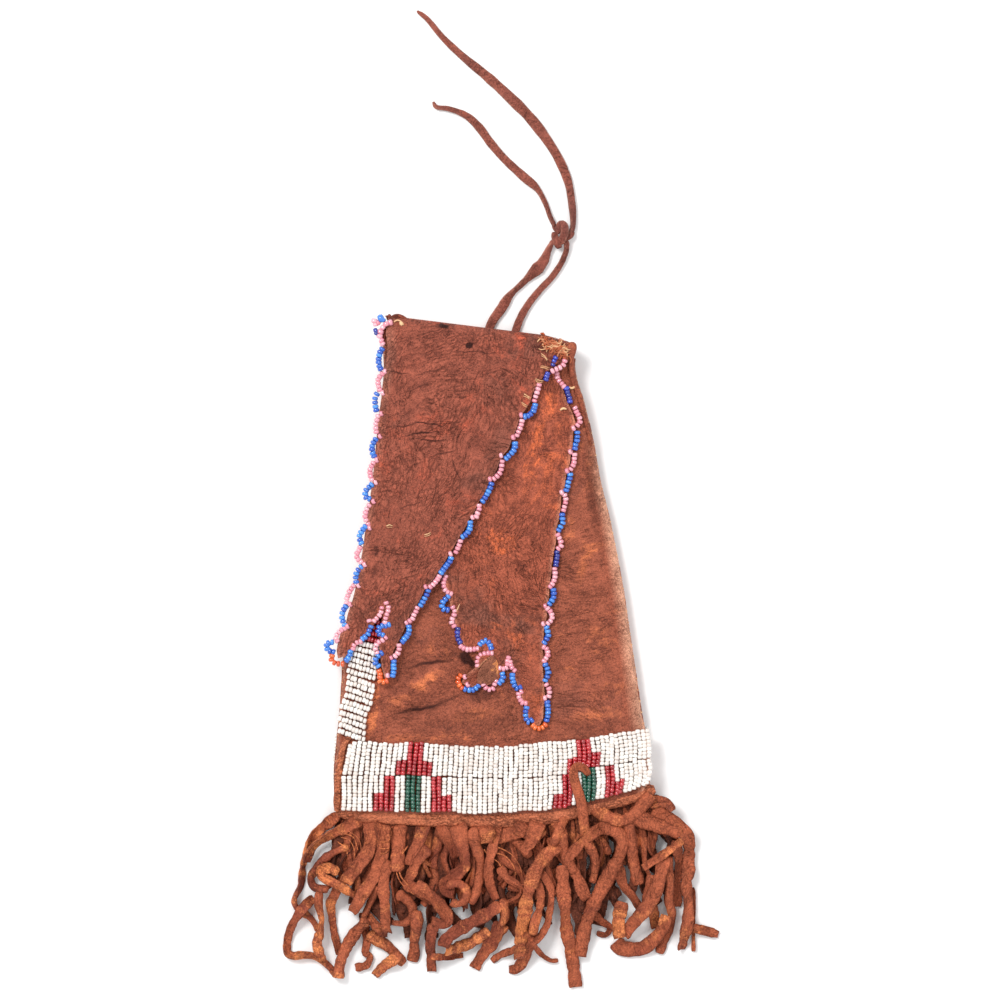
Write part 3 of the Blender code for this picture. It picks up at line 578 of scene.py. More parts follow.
def tell(piece, material, body=None, nodes=()):
    """Give a piece its material, the body that carries it and the nodes it stands for."""
    piece.data.materials.clear()
    piece.data.materials.append(material)
    if body:
        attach(piece, body)
    if nodes:
        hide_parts(*nodes)
    return piece


# Beadwork


def seed_bead():
    """One seed bead: a short round barrel with a hole along Z."""
    bpy.ops.object.select_all(action="DESELECT")
    bpy.ops.mesh.primitive_torus_add(major_segments=bead_segments, minor_segments=bead_ring_segments,
                                     major_radius=bead_hole_radius, minor_radius=bead_wall_radius)
    bead = bpy.context.object
    bpy.ops.object.mode_set(mode="EDIT")
    bpy.ops.mesh.select_all(action="SELECT")
    bpy.ops.transform.resize(value=(1, 1, bead_stretch))
    bpy.ops.object.mode_set(mode="OBJECT")
    return bead


bead = seed_bead()
bead_points = np.array([vertex.co for vertex in bead.data.vertices])
bead_faces = np.array([polygon.vertices[:] for polygon in bead.data.polygons])
bpy.data.objects.remove(bead)
chance = np.random.default_rng(7)


def beads(name, places, runs, kind, body, nodes=(), width=1.0, length=1.0, wobble=bead_wobble):
    """Copies of the seed bead in one kind of glass at these places, each with its hole along its run."""
    places = np.array(places)
    count = len(places)
    places = places + chance.normal(0, wobble, (count, 3))
    holes = np.array(runs) + chance.normal(0, bead_tilt, (count, 3))
    holes /= np.linalg.norm(holes, axis=1)[:, None]
    side = np.cross(holes, np.array([0.02, 0.03, 1.0]))
    side /= np.linalg.norm(side, axis=1)[:, None]
    rise = np.cross(holes, side)
    turns = np.stack([side, rise, holes], axis=2) * chance.uniform(0.94, 1.05, count)[:, None, None]
    points = np.einsum("nij,vj->nvi", turns, bead_points * (width, width, length)) + places[:, None]
    faces = bead_faces[None] + np.arange(count)[:, None, None] * len(bead_points)
    piece = new_object(name, points.reshape(-1, 3), faces.reshape(-1, 4))
    paint(piece, "tone", np.repeat(chance.uniform(0, 1, count), len(bead_points)).astype(np.float32))
    slot = "blue_beads" if kind == "navy" else f"{kind}_beads"
    tell(piece, glasses[kind], body, nodes)


def band_colour(lane, across, down, pitch):
    """The colour of a bead of the band: two stepped figures on white."""
    if lane == "upper":
        for centre in upper_motifs:
            column = abs(round((across - centre) / pitch))
            if column <= 1 or column <= 3 and down > 0.5:
                return "red"
    if lane == "lower":
        for centre in lower_motifs:
            column = abs(round((across - centre) / pitch))
            if column <= 1:
                return "green"
            if column in (4, 5) or column in (6, 7) and down > 0.52:
                return "red"
    return "white"


def lane_beads(lane, top, bottom, level, arch):
    """Beads of one lane of the band, by colour: threads of beads side by side."""
    found = {"white": ([], []), "red": ([], []), "green": ([], [])}
    steps = 1 + column_taper - 2 * column_taper * (np.arange(band_columns) + 0.5) / band_columns
    centres = (np.cumsum(steps) - steps / 2) / steps.sum()
    pitches = np.linalg.norm(along(top, [1.0]) - along(top, [0.0])) * steps / steps.sum() / pixel_size[0]
    for start, end, pitch in zip(along(top, centres), along(bottom, centres), pitches):
        start = start + (0, chance.uniform(-thread_end_play, thread_end_play), 0)
        end = end + (0, chance.uniform(-thread_end_play, thread_end_play), 0)
        reach = np.linalg.norm(end - start)
        count = round(reach / bead_pitch)
        sway, turn = chance.normal(0, column_sway), chance.uniform(0, 6)
        bow = column_bow * min(1.0, max(0.0, start[0] / column_bow_reach))
        across = (start + end)[0] / 2 / pixel_size[0] + picture_middle[0]
        for number in range(count):
            down = (number + 0.5) / count
            spot = start + (end - start) * down
            spot[0] += sway * math.sin(turn + down * 5) + bow * math.sin(math.pi * down)
            spot[2] = level + arch * math.sin(math.pi * down)
            places, runs = found[band_colour(lane, across, down, pitch)]
            places.append(spot)
            runs.append((end - start) / reach)
    return found


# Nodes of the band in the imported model, by colour and lane
band_parts = {
    "white": {"upper": ("left", "middle", "right"), "lower": ("left", "inner_left", "inner_right",
        "middle", "second_left", "second_right", "right")},
    "red": {"upper": ("left", "right"), "lower": ("outer_left", "outer_right", "second_left",
        "second_right")},
    "green": {"lower": ("left", "right")}}


def add_band():
    """The two lanes of the band on the front and on the back."""
    top, middle, bottom = (line_at(line) for line in (band_top, band_middle, band_bottom))
    gap = np.array([0, lane_gap, 0])
    upper = lane_beads("upper", top, middle + gap, lane_level, lane_arch)
    lower = lane_beads("lower", middle - gap, bottom, lane_level, lane_arch)
    for shade, lanes in band_parts.items():
        nodes = [f"{lane}_lane_{shade}_{part}" for lane, parts in lanes.items() for part in parts]
        beads(f"band_{shade}_beads", upper[shade][0] + lower[shade][0], upper[shade][1] + lower[shade][1],
              shade, "root", nodes, *band_bead_size)
    for line, pixel in zip((top, middle, bottom), back_band_left):
        line[0] = at(pixel)
    for name, lane_top, lane_bottom in (("upper", np.delete(top, 1, axis=0), middle + gap),
                                        ("lower", middle - gap, bottom)):
        found = lane_beads("back", lane_top, lane_bottom, back_lane_level, 0.0)["white"]
        beads(f"back_{name}_lane_beads", *found, "white", "root", [f"back_{name}_lane"])


def add_side_strip():
    """Short rows of beads sewn across the left seam."""
    outer = line_at(strip_outer)
    inner = line_at(strip_inner)
    count = round(lengths(outer)[-1] / (strip_row_pixels * pixel_size[1]))
    shares = (np.arange(count) + 0.5) / count
    found = {"white": ([], []), "red": ([], [])}
    first, last = (at((0, pixel)).y for pixel in strip_red_rows)
    for start, end in zip(along(outer, shares), along(inner, shares)):
        start = start + (chance.uniform(-thread_end_play, thread_end_play), chance.normal(0, row_sway), 0)
        end = end + (chance.uniform(-thread_end_play, thread_end_play), chance.normal(0, row_sway), 0)
        run = (end - start) / np.linalg.norm(end - start)
        places, runs = found["red" if last < start[1] < first else "white"]
        for number in range(strip_row_beads):
            down = (number + 0.5) / strip_row_beads
            spot = start + (end - start) * down
            spot[2] = lane_level + strip_arch * math.sin(math.pi * down)
            places.append(spot)
            runs.append(run)
    for shade, nodes in (("white", ["side_strip"]), ("red", ())):
        beads(f"side_strip_{shade}_beads", *found[shade], shade, "root", nodes, strip_bead_width, 1.0,
              strip_bead_wobble)


# Beads knotted together at the left end of the fold: a colour, a pixel, the angle of its hole and its size
corner_beads = (
    ("blue", (381.4, 318.2), 25, 1.70), ("blue", (383, 320), 80, 1.30), ("pink", (374.6, 320.6), 75, 1.40),
    ("pink", (375.6, 324), 100, 1.30), ("pink", (378.6, 322.8), 45, 1.20),
    ("pink", (386.6, 324.2), -62, 1.32), ("pink", (383.2, 327.4), -48, 1.36),
    ("pink", (380.8, 331.6), 62, 1.40), ("pink", (379.8, 336.2), 72, 1.36),
    ("pink", (390.8, 322.4), 5, 1.26), ("navy", (376, 330.8), 20, 1.20), ("navy", (376.8, 333.6), 60, 1.05))

# Edge beads that the over flap hides, in pixels: where they start, each run's height and its loop
hidden_start = 406
hidden_run_pixels = 20.9
hidden_runs = 8
hidden_loop_shares = (0.0, 0.22, 0.44, 0.64, 0.84)
hidden_loop_reach = (1.0, 3.4, 4.2, 3.2, 1.2)

# Edge strings of the flaps: a colour, then the pixels that its beads follow. A knot is one pink bead.
over_left_string = (
    ("pink", ((381, 340), (382.4, 341.4))), ("pink", ((382, 343), (383.4, 344.6))),
    ("blue", ((382.6, 349), (380.2, 353), (379, 359), (379.4, 365), (381.3, 369))),
    ("knot", ((385.4, 371.5),)), ("pink", ((382.5, 374), (378.5, 379), (378.4, 384), (380.1, 389.7))),
    ("knot", ((383.1, 392.7),)),
    ("blue", ((377.5, 394.4), (375.7, 398.1), (375.5, 402.4), (375.7, 406.1), (376.6, 410.5))),
    ("knot", ((381.8, 413.5),)),
    ("pink", ((378.3, 416), (377.1, 420.8), (376.1, 424.5), (376.1, 427.9), (377, 432))),
    ("knot", ((380.4, 436.2),)),
    ("blue", ((375.9, 439.6), (373.4, 443.9), (372.4, 448), (372.7, 452), (374.6, 456))),
    ("knot", ((377.4, 460),)),
    ("pink", ((373.6, 463), (371.4, 466.7), (370.5, 470.7), (370.5, 475.1), (372.1, 479.6))),
    ("knot", ((376.1, 482.5),)),
    ("blue", ((372, 484.6), (369.3, 487.3), (366.2, 490.5), (365.8, 494.5), (367, 498.2), (370, 499))),
    ("knot", ((374.2, 501.3),)),
    ("pink", ((369.5, 505.6), (367.3, 508.7), (366.1, 512), (365.4, 515.8), (366.6, 520.2), (368, 524))),
    ("knot", ((370.2, 527.6),)),
    ("blue", ((365.8, 526.7), (362.9, 530.3), (360.4, 534.7), (360.2, 539.3), (361.9, 543))),
    ("pink", ((360.5, 547.3), (358.8, 551.2), (357.2, 555), (358.3, 559.2), (361.6, 562))),
    ("knot", ((365.1, 564.5),)),
    ("blue", ((361.5, 567.2), (358.4, 570.3), (356.6, 574.1), (356, 578), (356.5, 582.1))),
    ("knot", ((358.9, 586),)),
    ("pink", ((354.2, 586), (351.3, 589.4), (349, 594), (347, 598.6), (347, 602.6))),
    ("knot", ((350.5, 604.4),)),
    ("blue", ((346.6, 606.4), (343.6, 610.5), (342.6, 615), (343, 620), (345, 625))),
    ("knot", ((348, 626.5),)), ("pink", ((345, 628.5), (341, 631), (338, 634), (336.3, 638), (338, 641.3))),
    ("blue", ((332.6, 642.6), (328.4, 643.4), (327, 647), (329.4, 650.6), (333.8, 652.2))))
over_left_tip_string = (("orange", ((332.6, 655.6), (332, 660), (335, 663), (339, 663.8), (343, 664.2))),)
over_left_tab_string = (
    ("blue", ((346.6, 660.4), (349.8, 656.6), (350.6, 651.8))),
    ("pink", ((353.4, 649), (354.5, 645.4), (357.5, 642.6), (361, 641.6))),
    ("blue", ((362.6, 638.8), (367, 635.6), (369.6, 631.2), (371, 627))),
    ("pink", ((369.4, 619.8), (369.9, 621.8))),
    ("pink", ((374.2, 621), (376.9, 618.4), (379.4, 615.6), (381.6, 612), (382.2, 608))),
    ("pink", ((386.4, 602.2), (386.8, 603.8))))
over_right_tab_string = (
    ("pink", ((388.6, 606.8), (388.2, 610.8), (387, 615), (385.6, 618.8), (385.2, 622.2))),
    ("blue", ((389.4, 624.6), (385.5, 626), (381.2, 626.2), (378.8, 629.4), (379.6, 633.8), (383.4, 635))),
    ("pink", ((386.2, 637.9), (382.8, 640), (379, 642.4), (376.4, 645.6), (375.9, 649.2), (377.5, 652.7))),
    ("blue", ((381.8, 653.4), (377.6, 656.9), (375.2, 661.6), (378.8, 666.4))))
over_right_tip_string = (("orange", ((379.4, 671), (380.8, 675.8), (379.8, 680), (383, 682), (387, 681))),)
over_right_string = (
    ("navy", ((555.6, 357.6), (554, 361.4), (552.8, 364.6))), ("navy", ((547.4, 373.4), (545.6, 379.4))),
    ("pink", ((539, 384.6), (538.2, 388.9), (536.7, 392.7), (535.5, 396), (534.2, 400.4))),
    ("blue", ((535.4, 404.6), (534, 408.8), (532.3, 412.6), (528.8, 415.4), (524.9, 416.7))),
    ("knot", ((521.1, 415.1),)),
    ("pink", ((522.1, 420.7), (521.1, 424.6), (520, 428.4), (518.6, 431.6), (517, 435.4))),
    ("knot", ((513, 437.2),)),
    ("blue", ((515.1, 443.2), (515.1, 447), (513, 451.6), (509.1, 455.4), (506.2, 458.2))),
    ("knot", ((501.1, 455.4),)),
    ("pink", ((502.1, 461.4), (501.5, 466.3), (500.6, 471.2), (497.5, 475.8), (494, 478.6))),
    ("knot", ((490.2, 479),)),
    ("blue", ((491.6, 483.9), (490.2, 487.7), (488.1, 491.9), (486, 496.1), (482.8, 500.9))),
    ("pink", ((479.3, 505.2), (479.3, 509.3), (477.9, 513), (476.1, 516.8))), ("knot", ((472.6, 517.5),)),
    ("blue", ((470.4, 522.1), (470.2, 527), (469.1, 530.9), (466, 534.7), (462.6, 536.7))),
    ("pink", ((460.5, 541.3), (459.6, 545), (457.9, 548.3), (455.9, 552))), ("knot", ((450.8, 554.2),)),
    ("blue", ((451.1, 558.2), (449.5, 561.8), (447, 565.3), (443.9, 569.1), (441.4, 572.7))),
    ("pink", ((439.3, 576.1), (437.9, 579), (435.8, 581.7), (433.7, 584.4), (430.6, 586.9))),
    ("knot", ((426, 587),)),
    ("blue", ((428.3, 591), (426.9, 594.7), (425.3, 597.9), (423.2, 601.4), (420.9, 605.3))),
    ("pink", ((417.4, 607.9), (416, 611.4), (414.2, 615.2), (412.4, 619), (409, 621.4), (406.4, 623))),
    ("blue", ((409.2, 626.5), (409.4, 630.7), (408, 635.1), (405.2, 638.6), (402.6, 642))),
    ("pink", ((399.4, 645.2), (399.6, 649), (398.4, 652.6), (395.6, 656), (391.6, 657.8))),
    ("blue", ((394, 661.6), (394, 666.2), (393.9, 671), (393, 675.8))), ("knot", ((388.2, 675.6),)))
corner_string = (("pink", ((564.6, 361), (562.8, 365), (559.6, 367.6), (556, 369.2), (552.4, 371))),)
under_right_string = (
    ("pink", ((556.4, 373.4), (557, 376.2), (558.6, 379.4), (560.8, 382.6), (563.8, 386.2))),
    ("navy", ((566.4, 388.4), (567.4, 392.6), (569, 397), (569.8, 401.6))),
    ("pink", ((574.7, 407.8), (577.2, 413), (579.3, 417.4), (579.8, 421.5), (577.4, 424.9))),
    ("knot", ((573.3, 427.8),)),
    ("blue", ((577.3, 432.3), (577.3, 436.5), (576.6, 441.1), (575.2, 444.8), (574.6, 448.6))),
    ("knot", ((570.3, 451.6),)),
    ("pink", ((574.5, 454.5), (574.3, 458.2), (574.1, 461.9), (573.1, 465.5), (571, 468.9))),
    ("knot", ((566.9, 470.9),)),
    ("blue", ((569.9, 474.6), (569.6, 478.6), (568.5, 482), (567.5, 486), (566.2, 490))),
    ("knot", ((561.8, 492.3),)),
    ("pink", ((564.6, 495.2), (565.7, 498.9), (565.4, 502.8), (564.3, 506.5), (563.4, 510.4))),
    ("blue", ((562, 514.7), (562.4, 519), (562.6, 523), (560.6, 526.6), (558.4, 530.2))),
    ("pink", ((557.7, 534.4), (559.2, 537.8), (560.6, 541.4), (561.3, 545.6), (558, 548.6))),
    ("navy", ((557.1, 552.2), (557.3, 556), (556.6, 560), (555.8, 565.4))),
    ("pink", ((554.6, 569), (555, 572.8), (554.8, 576.6), (554, 580.4), (552.5, 584), (549.8, 587.2))),
    ("blue", ((553.3, 589.8), (553.8, 593.6), (553.4, 597.6), (551.6, 601), (549.4, 604))),
    ("knot", ((545.2, 605.9),)),
    ("pink", ((547.7, 608.8), (550.6, 612.4), (552.2, 616.6), (551, 620.6), (548, 623.2))),
    ("knot", ((543.4, 624),)),
    ("blue", ((546.5, 627.7), (547.7, 631.8), (548.2, 635.8), (546.8, 639.2), (544.2, 642.7))),
    ("pink", ((543.6, 647.2), (547, 650), (547.9, 654.4), (546.4, 658), (543.9, 661.2))),
    ("blue", ((545.4, 665), (547, 669), (548.2, 673), (547.1, 677), (545.2, 680.7))),
    ("pink", ((546.5, 685.1), (548.8, 688.6), (549.6, 692.8), (548.6, 696.8))), ("knot", ((545, 698.3),)),
    ("blue", ((547.1, 702.4), (547.9, 707), (548, 711.6), (547.6, 716.2), (546.4, 720.4))))
under_right_tip_string = (("orange", ((545.2, 725), (541, 728.6), (536.2, 728.4), (532.8, 725.4))),)
under_right_tab_string = (
    ("blue", ((531.6, 720.6), (528.2, 722.6), (526.2, 718.2), (525.5, 713), (526.4, 708))),
    ("pink", ((525.8, 703.6), (522, 703.2), (519.8, 699), (518.2, 695), (521.4, 692))),
    ("blue", ((520.4, 687.4), (516, 688.2), (514, 684), (512.5, 679.4), (512.7, 674.8))),
    ("pink", ((514.2, 670.6), (511.2, 666.6), (509.9, 662))))
under_left_tab_string = (
    ("pink", ((508.6, 658), (507.4, 662.4), (507.2, 667), (503.8, 669), (500, 668.4))),
    ("blue", ((502.2, 674), (502.9, 679), (499.2, 683.4))),
    ("pink", ((496.2, 681.2), (494.4, 685.2), (492, 689.8), (487, 688.8), (483.4, 684.8))),
    ("blue", ((478.6, 685.8), (474, 689.8), (469.4, 690.2), (465.4, 689.4))))
under_left_tip_string = (
    ("orange", ((462, 688.2), (459, 684.4), (458, 679.4), (460.8, 675.6))), ("knot", ((465, 677),)),
    ("knot", ((467.6, 684.8),)))
under_left_string = (
    ("pink", ((446, 576.3), (444, 580), (443.9, 583.9), (444.4, 588.1), (446.9, 591.8), (451.2, 593.9))),
    ("blue", ((448.4, 596.7), (445.2, 599.8), (442.2, 603.6), (442.8, 608.6), (447.6, 610))),
    ("pink", ((453, 607.4), (455, 612.4), (453.2, 617.2), (451.6, 621.8), (454.2, 626.2))),
    ("navy", ((458.3, 629), (457.5, 634), (458.1, 638.6), (460.4, 642.4))),
    ("pink", ((461, 646.4), (464.6, 649.2), (469, 649.6), (473.4, 649.2), (477.8, 648.6))),
    ("blue", ((480.2, 644.6), (484.9, 640.6), (489.2, 643.4), (491.2, 648.6))),
    ("pink", ((491.8, 653.6), (487.4, 653.4), (483, 654), (479.6, 656.4), (477.4, 660.6), (477.8, 665.6))))


def hidden_string():
    """Guessed beads on the edge of the under flap that the over flap covers, in turns like the others."""
    edge = np.array(under_left[1:5])
    string = []
    for number in range(hidden_runs):
        start = hidden_start + number * hidden_run_pixels
        heights = start + hidden_run_pixels * np.array(hidden_loop_shares)
        places = np.interp(heights, edge[:, 1], edge[:, 0]) - np.array(hidden_loop_reach)
        string.append((("pink", "blue")[number % 2], tuple(zip(places, heights))))
    return tuple(string)


def edge_strings(flap, strings, level_at):
    """The beaded edge of a flap: a piece for each string and colour."""
    for name, string, node in strings:
        found = {}
        for shade, pixels in string:
            places, runs = found.setdefault("pink" if shade == "knot" else shade, ([], []))
            line = line_at(pixels)
            reach = lengths(line)[-1]
            if len(pixels) == 1:
                spots, headings, rise = line, np.array([knot_bead_heading]), knot_bead_rise
            elif reach < edge_bead_pitch * 0.75:
                spots, headings = line.mean(axis=0)[None], (line[1:] - line[:1]) / reach
                rise = single_bead_rise
            else:
                count = max(1, round(reach / edge_bead_pitch))
                spots = along(smooth(line, edge_bead_pitch / 4), np.linspace(0, 1, count + 1))
                headings, rise = run_of(spots), 0.0
            for spot, heading in zip(spots, headings):
                spot[2] = level_at(spot[0], spot[1]) + rise
                places.append(spot)
                runs.append(heading)
        lead = max(found, key=lambda kind: len(found[kind][0]))
        for kind, (places, runs) in found.items():
            nodes = [node] if node and kind == lead else []
            beads(f"{flap}_{name}_{kind}", places, runs, kind, flap, nodes, edge_bead_widths[kind])


def add_corner_beads():
    """The beads knotted together at the left end of the fold."""
    for number, (kind, pixel, angle, size) in enumerate(corner_beads):
        hole = (math.cos(math.radians(angle)), math.sin(math.radians(angle)), 0.1)
        beads(f"corner_{kind}_bead_{number + 1}", [at(pixel, over_flap_level + number % 3 * 0.0003)], [hole],
              kind, "over_flap", (), size, size * 0.92)


# Hide sheets


def rumpled(x, y, seed, strength):
    """Small rise and fall of old hide at a place."""
    spot = Vector((x, y, seed))
    wave = noise.noise(spot * 45) * 0.6 + noise.noise(spot * 120) * 0.3
    slant = Vector(((x - y * 0.9) * 170, (x * 0.9 + y) * 42, seed))
    crease = -abs(noise.noise(slant)) * 0.6 + 0.14
    return strength * (wave + crease)


# Soft folds of the front panel: height in metres, reach in pixels, and the pixels that each follows
front_folds = (
    (0.00055, 8, ((372, 718), (390, 704), (410, 692), (432, 681), (450, 677))),
    (-0.0005, 9, ((384, 728), (412, 711), (440, 699), (462, 692))),
    (0.0004, 9, ((424, 728), (448, 714), (472, 704), (500, 701), (520, 706))),
    (-0.0005, 10, ((440, 640), (448, 656), (462, 668))),
    (0.0004, 12, ((556, 668), (580, 656), (606, 655), (630, 664))),
    (-0.0004, 12, ((548, 722), (580, 708), (610, 700), (636, 690))),
    (0.00035, 12, ((572, 560), (584, 590), (600, 622))), (0.0003, 10, ((470, 735), (500, 724), (530, 722))))


def folded(folds, points):
    """Rise of a grid of points over the folds, which fade with distance."""
    rise = np.zeros(points.shape[:2])
    for height, reach, pixels in folds:
        line = smooth(line_at(pixels), 0.0015)[:, :2]
        gaps = np.linalg.norm(points[:, :, None, :2] - line[None, None], axis=3).min(axis=2)
        rise += height * np.exp(-(gaps / (reach * pixel_size[0])) ** 2)
    return rise


def sheet_piece(name, points, thickness, rim_shares=((0.35, 0.15), (0.4, 0.2)), rim_start=0.0, end_rim=0.4):
    """A sheet of hide with rounded edges, over a grid of points. Its rim is worn, by these shares."""
    rows, columns = points.shape[:2]
    piece = new_object(name, points.reshape(-1, 3), grid_faces(rows, columns))
    rim = np.zeros((rows, columns), np.float32)
    for side, shares in enumerate(rim_shares):
        for step, share in enumerate(shares):
            column = step if side == 0 else -1 - step
            rim[:, column] = share * np.clip((np.linspace(0, 1, rows) - rim_start) * 6, 0.12, 1)
    rim[-1] = np.maximum(rim[-1], end_rim)
    paint(piece, "rim", rim.ravel())
    finished(piece, SOLIDIFY={"thickness": thickness, "offset": 0.0},
             BEVEL={"width": thickness * 0.3, "segments": 2, "limit_method": "ANGLE",
                    "angle_limit": math.radians(55)})
    outward(piece)
    piece.data.shade_smooth()
    return piece


mouth_line = line_at((mouth_left, mouth_right))
mouth_along = (mouth_line[1] - mouth_line[0]) / np.linalg.norm(mouth_line[1] - mouth_line[0])
mouth_out = np.array([-mouth_along[1], mouth_along[0], 0])


def fold_top(x, y):
    """Height of the outer side of the hide over the mouth fold, at a place."""
    out = (np.array([x, y, 0.0]) - mouth_line[0]).dot(mouth_out)
    share = min(1.0, max(0.0, out / fold_reach))
    return fold_centre + fold_radius * math.sqrt(1 - share ** 2) + hide_thickness / 2


def on_fold(spot):
    """A place on the mouth fold: a pixel, and a height above the hide in millimetres."""
    place = at(spot[:2])
    return at(spot[:2], fold_top(place.x, place.y) + spot[2] / 1000)


def over_level(x, y):
    """Middle height of the over flap at a place: it sinks a little where nothing lies under it."""
    free = at((430, 640))
    near = math.exp(-((x - free.x) ** 2 + (y - free.y) ** 2) / 0.018 ** 2)
    return over_flap_level + rumpled(x, y, 1.7, 0.00045) - 0.0006 * near


curl_place = at((483, 663))
curl_run = Vector((0.66, 0.75, 0))


def under_level(x, y):
    """Middle height of the under flap at a place: its left tab has curled up."""
    away = Vector((x - curl_place.x, y - curl_place.y, 0))
    down_run = away.dot(curl_run)
    aside = away.dot(Vector((-curl_run.y, curl_run.x, 0)))
    curl = 0.0030 * math.exp(-(down_run / 0.0062) ** 2 - (aside / 0.0032) ** 2)
    return under_flap_level + rumpled(x, y, 5.3, 0.00022) + curl


def flap_grid(outline, reach, radius, centre, angles, columns, rows, level_at):
    """Points of a flap: round the fold, and the notched sheet."""
    left, notch, right = (line_at(line) for line in outline)
    top = np.array([left[0], right[0]])
    sheet = patch(top, notch, left, right, columns, np.linspace(0, 1, rows + 1))
    for row in sheet:
        for point in row:
            point[2] = level_at(point[0], point[1])
    fold = []
    share = np.linspace(0, 1, columns + 1)[:, None]
    # The fold narrows towards the right corner
    slope = np.clip((share - 0.84) / 0.14, 0, 1)
    rounding = 1 - 0.17 * slope ** 2 * (3 - 2 * slope) - 0.12 * np.clip((share - 0.96) / 0.04, 0, 1) ** 3
    for angle in angles:
        turn = math.radians(angle)
        row = sheet[0] + mouth_out * reach * math.cos(turn) * rounding
        row[:, 2] = centre + radius * math.sin(turn)
        fold.append(row)
    for number, row in enumerate(sheet[:4]):
        ease = number / 4
        row[:, 2] = row[:, 2] * ease + (centre + radius) * (1 - ease)
    return np.concatenate([np.array(fold), sheet])


# Panels: how far in from each seam they are rounded, the reach and fall at the bottom, and their length
left_seam_reach = 0.0014
front_right_reach = 0.0034
back_right_reach = 0.0036
bottom_lip = (0.0018, 0.0022)
panel_run = 0.185

# The under flap's curled tab, in pixels: its rolled edge, and the cone that it forms
curled_edge = ((477.4, 669), (480.4, 665.4), (484.6, 661), (489.4, 657.6), (493, 656.4))
cone_top = ((493, 656), (494.2, 656.2))
cone_bottom = ((477, 684), (487, 683.6), (497, 680))
cone_left = ((493, 656), (487.4, 660), (482, 665.4), (478.4, 671.6), (477, 678), (477, 684))
cone_right = ((494.2, 656.2), (497.6, 663), (498.6, 671), (497, 680))


def add_flaps():
    """The two flaps, each one hide sheet from the pouch round its fold to the notched end."""
    line = smooth([at(pixel, under_level(*at(pixel)[:2]) + 0.0009) for pixel in curled_edge], 0.0005)
    thin = np.full(len(line), 0.00027) * taper(len(line), 0.7, 0.7)
    # The curled tab's rolled edge, with a painted highlight along its sides
    add_strips("under_flap_curl", [rod(line, thin, 10)], [0.5], cone_hide, "under_flap", rim=1.0)
    top, bottom, left, right = (line_at(pixels) for pixels in (cone_top, cone_bottom, cone_left, cone_right))
    cone = patch(top, bottom, left, right, 14, np.linspace(0, 1, 22))
    for row in cone:
        for number, point in enumerate(row):
            bulge = 0.0007 * math.sin(math.pi * (number + 0.6) / 15.2)
            point[2] = under_level(point[0], point[1]) + 0.0004 + bulge
    piece = sheet_piece("under_flap_cone", cone, 0.0005, ((0.0,), (0.0,)), 0.0, 0.0)
    tell(piece, cone_hide, "under_flap")
    angles = np.linspace(-90, 82, 21)
    over = flap_grid((over_left, over_notch, over_right), fold_reach, fold_radius, fold_centre, angles,
                     76, 120, over_level)
    piece = sheet_piece("over_flap_hide", over, hide_thickness, ((0.3, 0.2, 0.16, 0.1, 0.05), (0.2,)))
    tell(piece, flap_hide, None, ["mouth_fold", "over_flap"])
    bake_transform(piece)
    under = flap_grid((under_left, under_notch, under_right), lip_radius, lip_radius, lip_centre,
                      np.linspace(-90, 70, 7), 60, 110, under_level)
    piece = sheet_piece("under_flap_hide", under, hide_thickness * 0.9)
    tell(piece, under_hide, None, ["front_lip_fold", "under_flap"])
    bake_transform(piece)


def side_drop(distance, reach, fall):
    """How far a rounded edge lies below the flat, at a distance in from it."""
    share = min(1.0, max(0.0, 1 - distance / reach))
    return fall * (1 - math.sqrt(max(0.0, 1 - share ** 2)))


def back_rise(share):
    """Height of the back panel's under side: over the beads, flat, and raised at the mouth."""
    rise = max(0.0, (0.17 - share) / 0.10)
    band = max(0.0, (share - 0.72) / 0.08)
    return back_mouth_level * min(1.0, rise) + back_band_level * min(1.0, band)


def panel_points(top, columns, rows):
    """Flat grid over the pouch's outline, from a line at the mouth to the bottom."""
    left, right, bottom = (line_at(line) for line in (left_outline, right_outline, bottom_outline))
    left[0] = top[0]
    right[0] = top[1]
    return patch(top, bottom, left, right, columns, np.linspace(0, 1, rows + 1))


def add_panels():
    """The front and back hide panels, rounded towards the side seams."""
    columns, rows = 84, 120
    lip = mouth_line - mouth_out * lip_setback
    front = panel_points(lip, columns, rows)
    for row_number, row in enumerate(front):
        left, right = row[0].copy(), row[-1].copy()
        down = (rows - row_number) / rows * panel_run
        for point in row:
            drop = side_drop(point[0] - left[0], left_seam_reach, front_middle - side_middle)
            drop += side_drop(right[0] - point[0], front_right_reach, front_middle - side_middle)
            drop += side_drop(down, *bottom_lip)
            point[2] = front_middle - drop + rumpled(point[0], point[1], 9.1, 0.0004) * (drop == 0)
    front[:, :, 2] += folded(front_folds, front)
    piece = sheet_piece("pouch_front", front, hide_thickness, ((0.6,), (1.25, 1.0, 0.55, 0.2)), 0.16)
    tell(piece, pouch_hide, "root", ["front_panel"])
    back = panel_points(mouth_line, columns, rows)
    for row_number, row in enumerate(back):
        left, right = row[0].copy(), row[-1].copy()
        level = back_rise(row_number / rows) + hide_thickness / 2
        for point in row:
            rise = side_drop(point[0] - left[0], left_seam_reach, side_middle - level)
            rise += side_drop(right[0] - point[0], back_right_reach, side_middle - level)
            point[2] = level + rise
    piece = sheet_piece("pouch_back", back, hide_thickness)
    tell(piece, pouch_hide, "root", ["back_panel"])


# Strips and cords of hide


